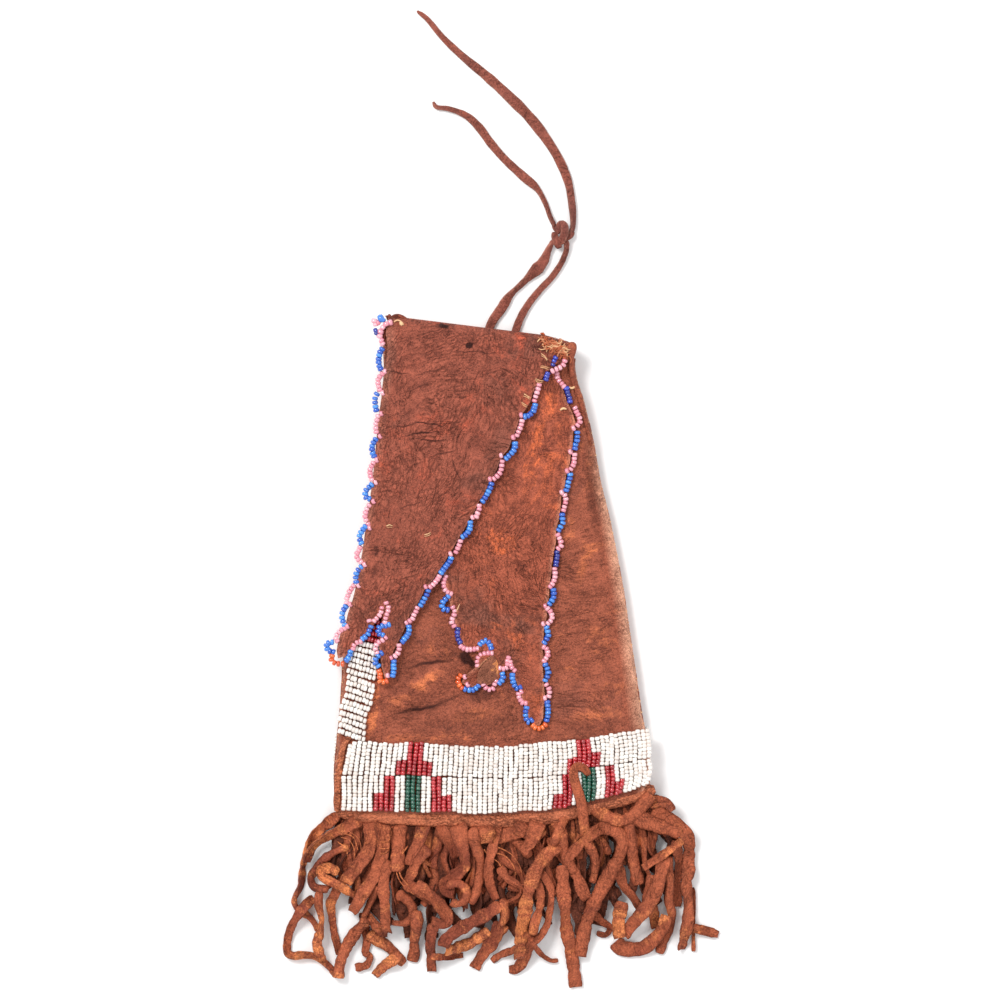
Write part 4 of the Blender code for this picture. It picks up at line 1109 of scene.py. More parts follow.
def strip_body(line, half_widths, half_heights, turns, sides=12, cup=0.0, square=0.75):
    """Points and faces of a closed strip of hide along a line, turned about it by angles."""
    count = len(line)
    run = run_of(line)
    flat = np.cross(run, np.array([0, 0, 1.0]))
    flat /= np.maximum(np.linalg.norm(flat, axis=1), 1e-9)[:, None]
    up = np.cross(flat, run)
    cos, sin = np.cos(turns)[:, None], np.sin(turns)[:, None]
    across = flat * cos + up * sin
    rise = up * cos - flat * sin
    rings = []
    for number in range(sides):
        angle = 2 * math.pi * number / sides
        wide = math.copysign(abs(math.cos(angle)) ** square, math.cos(angle))
        high = math.copysign(abs(math.sin(angle)) ** square, math.sin(angle))
        bend = cup * (wide ** 2 - 0.5)
        rings.append(line + across * (half_widths * wide)[:, None]
                     + rise * (half_heights * (high + bend))[:, None])
    points = np.stack(rings, axis=1)
    faces = []
    for ring in range(count - 1):
        for number in range(sides):
            after = (number + 1) % sides
            faces.append([ring * sides + number, ring * sides + after, (ring + 1) * sides + after,
                          (ring + 1) * sides + number])
    faces.append(list(range(sides)))
    faces.append(list(range((count - 1) * sides, count * sides))[::-1])
    edges = np.abs(np.cos(2 * math.pi * np.arange(sides) / sides)) ** 3
    return points.reshape(-1, 3), faces, np.tile(edges, count)


def joined(name, bodies, tones, rim=0.0, depth=0.0):
    """One object from closed bodies, each with its tone or tones. A positive rim pales its edges as a painted
    highlight, a negative one darkens them as painted shade, and depth darkens it all over, as painted shade
    on the lower layers of the fringe.
    """
    points = []
    faces = []
    shades = []
    rims = []
    for (body_points, body_faces, edges), tone in zip(bodies, tones):
        first = sum(len(part) for part in points)
        points.append(body_points)
        faces += [[index + first for index in face] for face in body_faces]
        shades += np.broadcast_to(tone, len(body_points)).tolist()
        rims.append(edges * rim - depth)
    piece = new_object(name, np.concatenate(points), faces)
    paint(piece, "tone", shades)
    paint(piece, "rim", np.concatenate(rims))
    outward(piece)
    piece.data.shade_smooth()
    return piece


def taper(count, first, last, ends=3):
    """Shares that narrow a strip towards its ends."""
    shares = np.ones(count)
    for step in range(ends):
        share = math.sin(math.pi / 2 * (step + 0.6) / (ends + 0.6))
        shares[step] = min(shares[step], 1 - (1 - share) * first)
        shares[-1 - step] = min(shares[-1 - step], 1 - (1 - share) * last)
    return shares


def add_strips(name, bodies, tones, material, body, nodes=(), rim=0.0, depth=0.0):
    """One piece from closed bodies, with its material, the body that carries it and the nodes it stands for.
    """
    return tell(joined(name, bodies, tones, rim, depth), material, body, nodes)


def rod(line, thick, sides):
    """Points and faces of a round strip along a line."""
    return strip_body(line, thick, thick, np.zeros(len(line)), sides)


def wander(values, second, third):
    """Smooth noise at each of a row of values, from a place that two more numbers choose."""
    return np.array([noise.noise(Vector((value, second, third))) for value in values])


def raised(spots):
    """Places of pixels that each have a height in millimetres."""
    return [at(spot[:2], spot[2] / 1000) for spot in spots]


# Thong route, as in the model's source
long_end_points = (
    (-0.0316, 0.2456, 0.0012), (-0.0276, 0.2424, 0.0012), (-0.0219, 0.2356, 0.0012),
    (-0.0143, 0.2284, 0.0012), (-0.0051, 0.2208, 0.0012), (0.0029, 0.2135, 0.0012),
    (0.0112, 0.2052, 0.0012), (0.0177, 0.1968, 0.0012), (0.0226, 0.1888, 0.0012), (0.0260, 0.1805, 0.0013),
    (0.0274, 0.1725, 0.0016), (0.0279, 0.1665, 0.0020), (0.0277, 0.1625, 0.0022), (0.0266, 0.1600, 0.0025))
short_end_points = (
    (-0.0254, 0.2110, 0.0012), (-0.0242, 0.2089, 0.0012), (-0.0192, 0.2082, 0.0012),
    (-0.0127, 0.2056, 0.0012), (-0.0078, 0.2010, 0.0012), (-0.0036, 0.1953, 0.0012),
    (0.0021, 0.1888, 0.0012), (0.0088, 0.1826, 0.0012), (0.0140, 0.1780, 0.0013), (0.0172, 0.1725, 0.0015),
    (0.0192, 0.1670, 0.0018), (0.0210, 0.1633, 0.0024))
left_strand_points = (
    (0.0204, 0.1578, 0.0029), (0.0193, 0.1560, 0.0024), (0.0182, 0.1537, 0.0020), (0.0162, 0.1494, 0.0016),
    (0.0122, 0.1452, 0.0012), (0.0078, 0.1409, 0.0012), (0.0036, 0.1368, 0.0012), (0.0004, 0.1318, 0.0012),
    (-0.0029, 0.1271, 0.0012), (-0.0051, 0.1216, 0.0012), (-0.0057, 0.1163, 0.0012),
    (-0.0054, 0.1113, 0.0012))
right_strand_points = (
    (0.0247, 0.1580, 0.0030), (0.0253, 0.1564, 0.0027), (0.0254, 0.1545, 0.0022), (0.0245, 0.1518, 0.0018),
    (0.0232, 0.1490, 0.0015), (0.0199, 0.1441, 0.0012), (0.0153, 0.1392, 0.0012), (0.0111, 0.1340, 0.0012),
    (0.0079, 0.1285, 0.0012), (0.0058, 0.1227, 0.0012), (0.0046, 0.1166, 0.0012), (0.0036, 0.1105, 0.0012))

# Thong: widths at even shares of each route from its first point, and its turns, in degrees
thong_thickness = 0.0016
long_end_widths = (0.0018, 0.0022, 0.0027, 0.0034, 0.0041, 0.0042, 0.0040, 0.0037, 0.0033, 0.0029, 0.0020)
long_end_turns = (0, 5, -8, 0, 10, 0, 0, 8, 12, 20, 60)
short_end_widths = (0.0014, 0.0020, 0.0026, 0.0032, 0.0031, 0.0030, 0.0031, 0.0036, 0.0021, 0.0018, 0.0018)
short_end_turns = (60, 0, 0, 10, 0, -8, 0, 0, 30, 40, 40)
left_strand_widths = (0.0018, 0.0034, 0.0050, 0.0032, 0.0030, 0.0042, 0.0038, 0.0033, 0.0029, 0.0027)
left_strand_turns = (60, 25, 5, 50, 60, 20, 10, 30, 20, 0)
right_strand_widths = (0.0019, 0.0022, 0.0024, 0.0026, 0.0027, 0.0028, 0.0030, 0.0031, 0.0031, 0.0030)
right_strand_turns = (40, 30, 20, 10, 10, 15, 5, 10, 0, 0)


# Stretches of the thong: name, node, far end, length in metres, then the route, widths and turns
thong_stretches = (
    ("left", "thong_left_strand", "knot", 0.0531, left_strand_points, left_strand_widths,
        left_strand_turns),
    ("right", "thong_right_strand", "knot", 0.0504, right_strand_points, right_strand_widths,
        right_strand_turns),
    ("long", "thong_long_end", "bare", 0.1031, long_end_points, long_end_widths, long_end_turns),
    ("short", "thong_short_end", "bare", 0.0669, short_end_points, short_end_widths, short_end_turns))


def thong_strip(name, node, far_end, length, points, widths, turn_degrees, with_pieces):
    """One flat stretch of the thong."""
    line = smooth(points, 0.0008)
    shares = np.linspace(0, 1, len(line))
    width = np.interp(shares, np.linspace(0, 1, len(widths)), widths)
    width = width * (1 + 0.10 * wander(shares * 30, length * 90, 0.5)) * taper(len(line), 0.7, 0.2)
    turns = np.radians(np.interp(shares, np.linspace(0, 1, len(turn_degrees)), turn_degrees))
    high = np.full(len(line), thong_thickness / 2) * taper(len(line), 0.6, 0.2)
    tall = np.abs(np.sin(turns)) * width / 2 + np.abs(np.cos(turns)) * high
    line[:, 2] = np.maximum(line[:, 2], tall + 0.0001)
    # A painted highlight along the edges of each stretch
    piece = add_strips(f"thong_{name}_ribbon", [strip_body(line, width / 2, high, turns, 14, 0.25)], [0.3],
                       thong_hide, "thong", [node], 0.2)


# The knot: crossing turns of the thong, in pixels with a height in millimetres
knot_turns = (
    ((559.6, 231, 2.4), (559.6, 226, 3.2), (561.4, 222.8, 4.0), (564.4, 225, 4.5), (564.8, 231, 4.6),
        (562.6, 237.4, 4.2), (559.8, 242, 2.9)),
    ((554.4, 231, 2.4), (555.2, 236.5, 3.2), (557.4, 242, 3.2), (559.8, 246.6, 2.2)),
    ((553.4, 224, 2.0), (556.6, 228.4, 2.9), (560, 232, 2.9)),
    ((573, 229.6, 1.8), (570.8, 234, 2.6), (566, 237.2, 2.9), (562, 238.6, 2.4)),
    ((550.2, 244, 2.4), (552.8, 241, 2.9), (556, 240.6, 3.0), (559, 241.6, 2.6)),
    ((567.6, 246, 2.3), (567.2, 242, 2.7), (564.6, 238.8, 2.9), (561.4, 237, 2.6)))
knot_turn_sizes = (1.0, 0.9, 0.66, 0.72, 0.7, 0.6)
knot_width = 0.0031
knot_thickness = 0.0018

# The thong's stretch inside the pouch: how far in from its node's box, and its half width and height
lacing_inset = 0.0012
lacing_halves = (0.0015, 0.0007)


def add_thong():
    """The thong: four flat stretches, the knot and the lacing inside the pouch."""
    bodies = []
    for turn, size in zip(knot_turns, knot_turn_sizes):
        line = smooth(raised(turn), 0.0005)
        shares = size * taper(len(line), 0.5, 0.5)
        tilt = np.linspace(0.3, -0.3, len(line))
        bodies.append(strip_body(line, shares * knot_width / 2, shares * knot_thickness / 2, tilt, 14, 0.2))
    # A painted highlight along the edges of the turns
    knot = add_strips("thong_knot_turns", bodies, [0.3] * len(bodies), thong_hide, "thong",
                      ["thong_knot"], 0.25)
    for stretch in thong_stretches:
        thong_strip(*stretch, [knot] if stretch[0] == "left" else ())
    low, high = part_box("thong_lacing")
    left, right, middle = low.x + lacing_inset, high.x - lacing_inset, (low.y + high.y) / 2
    rise = high.z - 0.0010
    line = smooth([(left, middle + 0.0005, low.z + 0.0004), (left + 0.0002, middle + 0.0004, rise - 0.0010),
                   (left + 0.0020, middle + 0.0002, rise), (right - 0.0020, middle - 0.0002, rise),
                   (right - 0.0002, middle - 0.0004, rise - 0.0010),
                   (right, middle - 0.0005, low.z + 0.0004)], 0.0005)
    half_width, half_height = (taper(len(line), 0.3, 0.3) * half for half in lacing_halves)
    add_strips("thong_lacing_ribbon", [strip_body(line, half_width, half_height, np.zeros(len(line)), 12)],
               [0.3], thong_hide, "root", ["thong_lacing"])


# Fringe strips in pixels, from the lowest up: width, turns of twist, how worn, and the line
lower_strips = (
    (11, 0.0, 0.45, ((428, 848), (418, 860), (412, 874), (406, 888))),
    (12, 0.0, 0.3, ((405, 884), (418, 891), (423, 894), (435, 902))),
    (9, 0.5, 0.3, ((397, 895), (407, 901), (413, 910), (412, 920), (404, 925), (392, 924))),
    (8, 0.0, 0.2, ((363, 915), (365, 931), (367, 942), (365, 955), (370, 959), (366, 968), (355, 970))),
    (8, 0.0, 0.2, ((366, 915), (375, 926), (382, 933), (387, 936))),
    (11, 0.3, 0.6, ((370, 934), (378, 942), (387, 948), (395, 956), (404, 966))),
    (9, 0.0, 0.5, ((400, 955), (394, 961), (384, 968), (374, 978))),
    (8, 0.4, 0.6, ((338, 888), (334, 897), (330, 905), (331, 917), (332, 927), (334, 939), (337, 950),
        (338, 957))),
    (11, 0.0, 0.3, ((417, 912), (417, 920), (416, 932), (414, 943), (414, 955), (412, 964))),
    (6, 0.6, 0.2, ((498, 852), (504, 862), (512, 868), (520, 874), (524, 883), (518, 890), (508, 888))),
    (7, 0.4, 0.2, ((500, 868), (506, 878), (514, 884), (522, 890), (520, 898), (510, 903), (502, 906))),
    (10, 0.0, 0.1, ((500, 829), (508, 836), (517, 843), (524, 850), (530, 858))),
    (10, 0.0, 0.2, ((434, 925), (431, 944), (431, 957), (432, 974))),
    (6, 0.0, 0.2, ((430, 957), (445, 959), (463, 958))),
    (8, 0.0, 0.3, ((520, 950), (512, 953), (500, 958), (492, 964))),
    (11, 0.0, 0.2, ((532, 935), (528, 948), (525, 959), (517, 971), (509, 972))),
    (14, 0.0, 0.3, ((502, 925), (496, 936), (489, 948), (481, 959), (474, 971))),
    (8, 0.2, 0.3, ((503, 900), (505, 911), (505, 920), (500, 927))),
    (13, 0.3, 0.4, ((415, 886), (425, 893), (435, 901), (442, 910), (447, 919), (444, 925), (432, 921))),
    (5, 0.0, 0.2, ((530, 940), (535, 948), (542, 957), (551, 963), (558, 963))),
    (8, 0.0, 0.2, ((651, 876), (650, 887), (647, 895), (645, 903))),
    (8, 0.0, 0.2, ((653, 906), (654, 917), (655, 931))),
    (10, 0.2, 0.2, ((676, 842), (677, 852), (679, 867), (677, 882), (677, 896), (676, 909))),
    (9, 0.0, 0.3, ((668, 858), (669, 873), (670, 887), (669, 902), (672, 917), (670, 931), (663, 946),
        (660, 956))),
    (12, 0.2, 0.2, ((614, 860), (619, 873), (623, 887), (632, 898), (639, 909))),
    (13, 0.2, 0.3, ((616, 944), (623, 951), (642, 951), (654, 942), (663, 930), (667, 917))),
    (9, 0.0, 0.3, ((584, 834), (589, 846), (595, 858), (595, 873), (592, 884))),
    (11, 0.0, 0.2, ((551, 838), (560, 852), (569, 865), (578, 879), (583, 892), (588, 901))),
    (7, 0.5, 0.2, ((594, 916), (602, 924), (610, 930), (606, 937), (597, 936))),
    (12, 0.0, 0.2, ((622, 820), (627, 826), (630, 840), (633, 858), (636, 873), (639, 886))),
    (4, 0.0, 0.2, ((693, 890), (694, 902), (694, 917), (694, 931), (694, 954))),
    (8, 0.0, 0.3, ((683, 927), (692, 930), (704, 933), (719, 937))),
    (6, 0.0, 0.0, ((378, 887), (373, 898), (368, 909), (363, 921))),
    (27, 0.0, 0.3, ((510, 827), (511, 834), (513, 841))),
    (27, 0.0, 0.3, ((531, 826), (529, 833), (526, 840))),
    (26, 0.0, 0.2, ((478, 828), (478, 836), (479, 845))),
    (22, 0.0, 0.2, ((450, 826), (452, 834), (454, 840))))
upper_strips = (
    (9, 0.8, 0.62, ((338, 816), (329, 824), (320, 831), (312, 839), (307, 849), (304, 860), (302, 870),
        (301, 879), (300, 888), (296, 897), (294, 905), (298, 913), (308, 919), (314, 926), (317, 933))),
    (9, 0.3, 0.5, ((348, 848), (337, 852), (327, 858), (320, 866), (314, 874), (311, 881), (314, 888),
        (321, 890), (329, 890))),
    (10, 0.4, 0.6, ((313, 900), (305, 908), (298, 917), (292, 927), (288, 937), (286, 948), (287, 956),
        (293, 959), (302, 958), (313, 959), (321, 963), (329, 970), (336, 978))),
    (11, 0.3, 0.5, ((362, 819), (354, 823), (344, 829), (335, 833), (323, 840), (314, 847), (308, 856),
        (306, 864))),
    (10, 1.2, 0.66, ((319, 893), (319, 905), (321, 917), (321, 927), (320, 936), (317, 945), (319, 955),
        (322, 963))),
    (12, 0.0, 0.45, ((371, 822), (371, 839), (369, 850), (363, 860), (355, 870), (348, 879), (345, 884))),
    (10, 0.3, 0.72, ((339, 873), (331, 869), (323, 869), (320, 874), (325, 880), (333, 884), (344, 890),
        (356, 898))),
    (12, 0.0, 0.5, ((367, 921), (358, 931), (350, 942), (344, 954), (340, 966), (338, 980))),
    (13, 0.0, 0.4, ((382, 824), (383, 844), (382, 856), (378, 866), (375, 876), (369, 886), (363, 895),
        (357, 906), (352, 914))),
    (11, 0.0, 0.4, ((391, 862), (386, 873), (384, 884), (384, 893), (385, 904), (386, 916), (386, 927),
        (388, 934))),
    (13, 0.2, 0.5, ((400, 826), (399, 844), (398, 856), (397, 872))),
    (11, 0.0, 0.2, ((424, 827), (421, 838), (416, 848), (410, 858), (408, 866))),
    (11, 0.0, 0.2, ((440, 827), (446, 838), (452, 849), (456, 859))),
    (10, 0.2, 0.3, ((472, 829), (475, 844), (480, 858), (481, 870), (479, 883), (475, 897), (471, 905))),
    (10, 0.2, 0.3, ((496, 827), (494, 838), (493, 847), (490, 858), (488, 870), (489, 883), (493, 895),
        (496, 901))),
    (12, 0.0, 0.3, ((538, 823), (534, 834), (529, 845), (522, 854))),
    (11, 0.0, 0.3, ((557, 822), (561, 833), (563, 847), (568, 862), (574, 874))),
    (7, 0.2, 0.2, ((541, 872), (546, 880), (551, 890), (551, 902), (549, 913), (547, 925), (541, 936),
        (535, 943))),
    (9, 0.0, 0.2, ((536, 880), (540, 891), (541, 902), (539, 913), (535, 925), (533, 936))),
    (12, 0.2, 0.8, ((489, 932), (478, 940), (469, 946), (457, 950), (446, 953))),
    (13, 0.0, 0.4, ((500, 905), (490, 913), (482, 918), (469, 925), (455, 933), (446, 941), (443, 948))),
    (13, 0.2, 0.3, ((458, 825), (461, 842), (464, 856), (464, 866), (458, 874), (449, 880), (444, 884),
        (446, 891), (454, 895))),
    (10, 0.4, 0.5, ((447, 889), (454, 884), (462, 886), (467, 893), (465, 901), (458, 905), (451, 903))),
    (14, 0.1, 0.6, ((558, 846), (545, 858), (536, 871), (530, 887), (526, 902), (524, 916), (521, 929),
        (520, 942), (519, 960))),
    (13, 0.0, 0.4, ((561, 866), (563, 879), (564, 896), (565, 913), (566, 931), (570, 948), (573, 966),
        (576, 990))),
    (10, 0.0, 0.3, ((553, 846), (560, 829), (566, 818), (577, 812))),
    (11, 0.0, 0.3, ((567, 860), (572, 853), (583, 842), (594, 833), (605, 827))),
    (13, 0.3, 0.3, ((652, 812), (662, 817), (674, 824), (684, 833), (689, 845), (689, 857), (688, 873),
        (686, 887), (688, 902), (688, 917), (686, 931), (681, 952))),
    (14, 0.0, 0.3, ((630, 812), (638, 818), (651, 824), (665, 829), (680, 835))),
    (14, 0.1, 0.3, ((664, 858), (661, 874), (656, 890), (649, 904), (639, 917), (630, 929), (624, 938))),
    (8, 0.0, 0.5, ((682, 841), (670, 850), (656, 860), (643, 869))),
    (13, 0.0, 0.2, ((601, 822), (609, 827), (618, 833), (623, 843), (619, 858), (611, 873), (603, 887),
        (595, 902), (589, 917), (585, 931), (582, 946), (581, 959))),
    (14, 0.1, 0.7, ((623, 903), (620, 913), (618, 924), (619, 940))),
    (11, 0.2, 0.3, ((642, 801), (651, 804), (661, 803), (669, 807), (672, 812))),
    (13, 0.2, 0.5, ((586, 803), (595, 809), (607, 817), (621, 821), (633, 816), (642, 806), (651, 795))))

# The hooked strip and the seam line, in pixels, then numbers of the pile and of the strips laid on it
hook_line = (
    (589, 775), (583, 768), (576.5, 766.6), (573.2, 773), (575, 783), (579, 796), (582, 808), (583.5, 822),
    (585, 838))
seam_line = (
    (337, 815.5), (345, 817), (360, 819.5), (385, 822.5), (430, 827), (480, 829), (530, 827), (560, 822),
    (590, 813.5), (615, 806), (640, 799), (656, 794))
pile_limit = 0.0190
low_pile_limit = 0.0050
pile_cell = 0.0005
pile_corner = (-0.090, -0.140)
pile_size = (200, 360)
strip_step = 0.0008
strip_height = 0.0013
fringe_root_level = 0.0052
filler_strips = 60
curled_strips = 46
# Painted shade along the sides of the fringe strips
strip_side_shade = -0.42
strip_sides = 16

# Strips are numbered by kind, and the number gives each its own wobble. Those that hang from the seam
# are wide at the root: the curled and lower ones, and upper ones that start above this pixel
first_curled = 60
first_lower = 100
first_upper = 200
root_pixel = 831

# How a strip settles: share of the pile's height, gap to it, passes of sagging and the sag of each
pile_share = 0.92
pile_gap = 0.00008
sag_passes = 80
sag_step = 0.00002

# The strip hooked over the band: its width in pixels, level and turn, each at shares of its length
hook_widths = ((0, 0.12, 0.5, 1), (8, 9, 10.5, 10))
hook_levels = ((0, 0.1, 0.70, 0.85, 1), (0.0118, 0.0124, 0.0124, 0.0104, 0.0078))
hook_turns = ((0, 0.2, 0.6, 1), (0.5, 0.3, 0.1, 0.2))
hook_half_height = 0.00075

# Thin threads of hide and sinew at the roots of the fringe, in pixels
root_threads = (
    ((341, 838), (349, 841), (354, 849), (355, 860)), ((345, 834), (354, 839), (358, 851)),
    ((338, 843), (346, 849), (348, 858)), ((349, 832), (358, 839), (361, 847), (361, 856)),
    ((376, 839), (382, 843), (390, 841)), ((377.4, 846), (382, 849.6), (389, 849)),
    ((376.6, 852.5), (384, 854.5), (388.5, 851)),
    ((404, 850), (399, 858), (396, 868), (399, 880), (406, 889), (414, 895)),
    ((408, 847), (401, 857), (399, 866), (401, 877), (409, 887)), ((462, 835), (468, 838), (477, 838)),
    ((490, 847), (500, 849), (512, 856), (520, 868), (522, 878)),
    ((494, 853), (505, 857), (513, 866), (516, 876)), ((488, 856), (498, 863), (503, 871)),
    ((484, 850), (490, 859), (494, 869)))


class Pile:
    """Heights of the strips laid so far, on a grid over the table."""

    def __init__(self):
        self.heights = np.zeros(pile_size)

    def window(self, point, reach):
        """The cells of the grid within reach of a point."""
        column = int((point[0] - pile_corner[0]) / pile_cell)
        row = int((point[1] - pile_corner[1]) / pile_cell)
        cells = max(1, round(reach / pile_cell))
        return tuple(slice(max(0, middle - cells), middle + cells + 1) for middle in (row, column))

    def lay(self, line, half_width, half_heights, root_level=0, limit=pile_limit):
        """Rest a strip on what lies there, and add it to the pile."""
        floor = np.array([self.heights[self.window(point, half_width * 0.55)].max() for point in line])
        lowest = limit * np.tanh(floor * pile_share / limit) + half_heights + pile_gap
        level = lowest.copy()
        if root_level:
            level[0] = root_level
        for _ in range(sag_passes):
            level[1:-1] = np.maximum(lowest[1:-1], (level[:-2] + level[2:]) / 2 - sag_step)
        line[:, 2] = level
        for point, half in zip(line, half_heights):
            window = self.window(point, half_width * 0.8)
            self.heights[window] = np.maximum(self.heights[window], point[2] + half)


def seam_y(x):
    """Place along Y of the dark seam line under the welt, at a place across."""
    line = line_at(seam_line)
    return float(np.interp(x, line[:, 0], line[:, 1]))


def fringe_strip(pile, width_pixels, twist, worn, pixels, number):
    """One strip of the fringe, laid on the pile."""
    line = smooth(line_at(pixels), strip_step)
    count = len(line)
    shares = np.linspace(0, 1, count)
    wobble = wander(shares * count * 0.12, number * 3.7, 0.3)
    nicks = wander(shares * count * 0.45, number * 2.3, 4.4)
    swing = wander(shares * count * 0.05, number * 5.1, 8.3)
    ends = taper(count, 0.5, 0.2, 2)
    width = width_pixels * pixel_size[0] * (1 + 0.26 * wobble + 0.20 * nicks) * ends
    if number >= first_curled and (number < first_upper or pixels[0][1] < root_pixel):
        width = width * (1 + 0.35 * np.clip(1 - shares * count / 14, 0, 1))
    turns = np.pi * twist * shares + swing * 0.8
    thin = 0.75 if number < first_lower else 1.0
    high = strip_height / 2 * (1 + 0.25 * wobble + 0.25 * nicks) * ends * thin
    tall = np.abs(np.sin(turns)) * width / 2 * 0.8 + np.abs(np.cos(turns)) * high
    root = line[0][1] > seam_y(line[0][0]) - 0.004
    pile.lay(line, width_pixels * pixel_size[0] / 2, tall, fringe_root_level if root else 0,
             low_pile_limit if number < first_lower else pile_limit)
    tones = worn + (0.30 * swing + 0.35 * nicks)
    body = strip_body(line, width / 2, high, turns, strip_sides, 1.5 if number % 3 else -1.2, 0.6)
    return body, np.repeat(tones, strip_sides)


def hang(piece, material, nodes=()):
    """Give a piece of the fringe its material and the nodes it stands for, and bake its place into its mesh.
    """
    tell(piece, material, None, nodes)
    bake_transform(piece)


def top_of(x):
    """Height in the picture of the seam line, at a pixel across."""
    return picture_middle[1] - seam_y(at((x, 0)).x) / pixel_size[1]


def filler_pixels(draw, number):
    """A guessed straight strip that hangs below the traced ones."""
    share = (number * 17 % filler_strips + 0.5) / filler_strips
    x = 340 + share * 316
    top = top_of(x)
    fan = (share - 0.5) * 34
    length = draw.uniform(60, 122) - 26 * abs(share - 0.5) - 22 * (share < 0.14)
    return [(x, top + 2), (x + fan * 0.2, top + 14),
            (x + fan * 0.5 + draw.uniform(-7, 7), top + length * 0.45),
            (x + fan * 0.8 + draw.uniform(-12, 12), top + length * 0.75),
            (x + fan + draw.uniform(-16, 16), top + length)]


def curled_pixels(draw, number):
    """A guessed strip that winds from side to side."""
    share = (number * 13 % curled_strips + 0.5) / curled_strips
    x = 344 + share * 306
    top = top_of(x)
    length = draw.uniform(34, 84) - 14 * abs(share - 0.5)
    waves, phase, reach = draw.uniform(0.6, 1.5), draw.uniform(0, 6.3), draw.uniform(3, 9)
    slant = draw.uniform(-14, 14) + (share - 0.5) * 26
    pixels = [(x, top + 1)]
    for part in np.linspace(0.12, 1, 7):
        sway = reach * part * (math.sin(phase + part * waves * 6.28) - math.sin(phase))
        pixels.append((x + slant * part + sway, top + 1 + length * part))
    return pixels


def add_fringe():
    """The fringe: hidden lower strips, then the traced ones, each laid on those before it."""
    pile = Pile()
    draw = random.Random(11)
    fillers = []
    for number in range(filler_strips):
        pixels = filler_pixels(draw, number)
        fillers.append(fringe_strip(pile, draw.uniform(9, 13), draw.uniform(-0.5, 0.5), 0, pixels, number))
    # The hidden lower strips are darker, in their own darker hide: painted shade for the deep gaps between
    # strips
    under_strips = joined("fringe_under_strips", *zip(*fillers), strip_side_shade, 0.1)
    hang(under_strips, shaded_fringe_hide, ["fringe_lower_layer"])
    curls = []
    for number in range(curled_strips):
        pixels = curled_pixels(draw, number)
        curls.append(fringe_strip(pile, draw.uniform(8.5, 12), draw.uniform(-0.6, 0.6),
                                  draw.uniform(0.0, 0.35), pixels,
                                  first_curled + number % (first_lower - first_curled)))
    # The curled and middle layers are darkened a little, as painted shade under the top strips
    hang(joined("fringe_curled_strips", *zip(*curls), strip_side_shade, 0.06), fringe_hide)
    for name, strips, node, first, depth in (
            ("fringe_middle_strips", lower_strips, "fringe_middle_layer", first_lower, 0.05),
            ("fringe_top_strips", upper_strips, "fringe_upper_layer", first_upper, 0.0)):
        bodies = [fringe_strip(pile, *strip, first + number) for number, strip in enumerate(strips)]
        hang(joined(name, *zip(*bodies), strip_side_shade, depth), fringe_hide, [node])
    threads = []
    for number, pixels in enumerate(root_threads):
        line = smooth(line_at(pixels), 0.0006)
        thin = np.full(len(line), 0.00017 + number % 3 * 0.00005)
        pile.lay(line, 0.0005, thin)
        threads.append(rod(line, thin, 6))
    hang(joined("fringe_root_threads", threads, [0.7] * len(threads)), fringe_hide)
    line = smooth(line_at(hook_line), strip_step)
    ends = taper(len(line), 0.5, 0.5)
    shares = np.linspace(0, 1, len(line))
    width = np.interp(shares, *hook_widths) * pixel_size[0] * ends
    line[:, 2] = np.interp(shares, *hook_levels)
    body = strip_body(line, width / 2, hook_half_height * ends, np.interp(shares, *hook_turns), 12, 0.35)
    add_strips("hooked_fringe_strip", [body], [0.35], fringe_hide, "root", ["hooked_strip"])


# The rim at the left of the band and the welt, in pixels, with sizes at shares of their lengths
band_rim = (
    (357, 738), (351.5, 737), (346.6, 741), (343.4, 748), (340.8, 760), (338.6, 778), (337.4, 798),
    (336.8, 812))
band_rim_level = 0.0098
band_rim_widths = ((0, 0.2, 0.5, 1), (0.0014, 0.0022, 0.0028, 0.0028))
band_rim_fall = ((0.3, 1), (0.0, 0.0010))
welt_line = (
    (335.5, 813.5), (345, 815), (375, 817), (405, 819), (440, 820.5), (478, 821.5), (515, 820.5),
    (552, 817), (580, 810.5), (605, 803.5), (630, 797.5), (655, 790))
welt_widths = ((0, 0.05, 0.5, 0.9, 1), (0.0030, 0.0052, 0.0062, 0.0062, 0.0058))
welt_heights = ((0, 0.05, 0.9, 1), (0.0024, 0.0040, 0.0044, 0.0046))


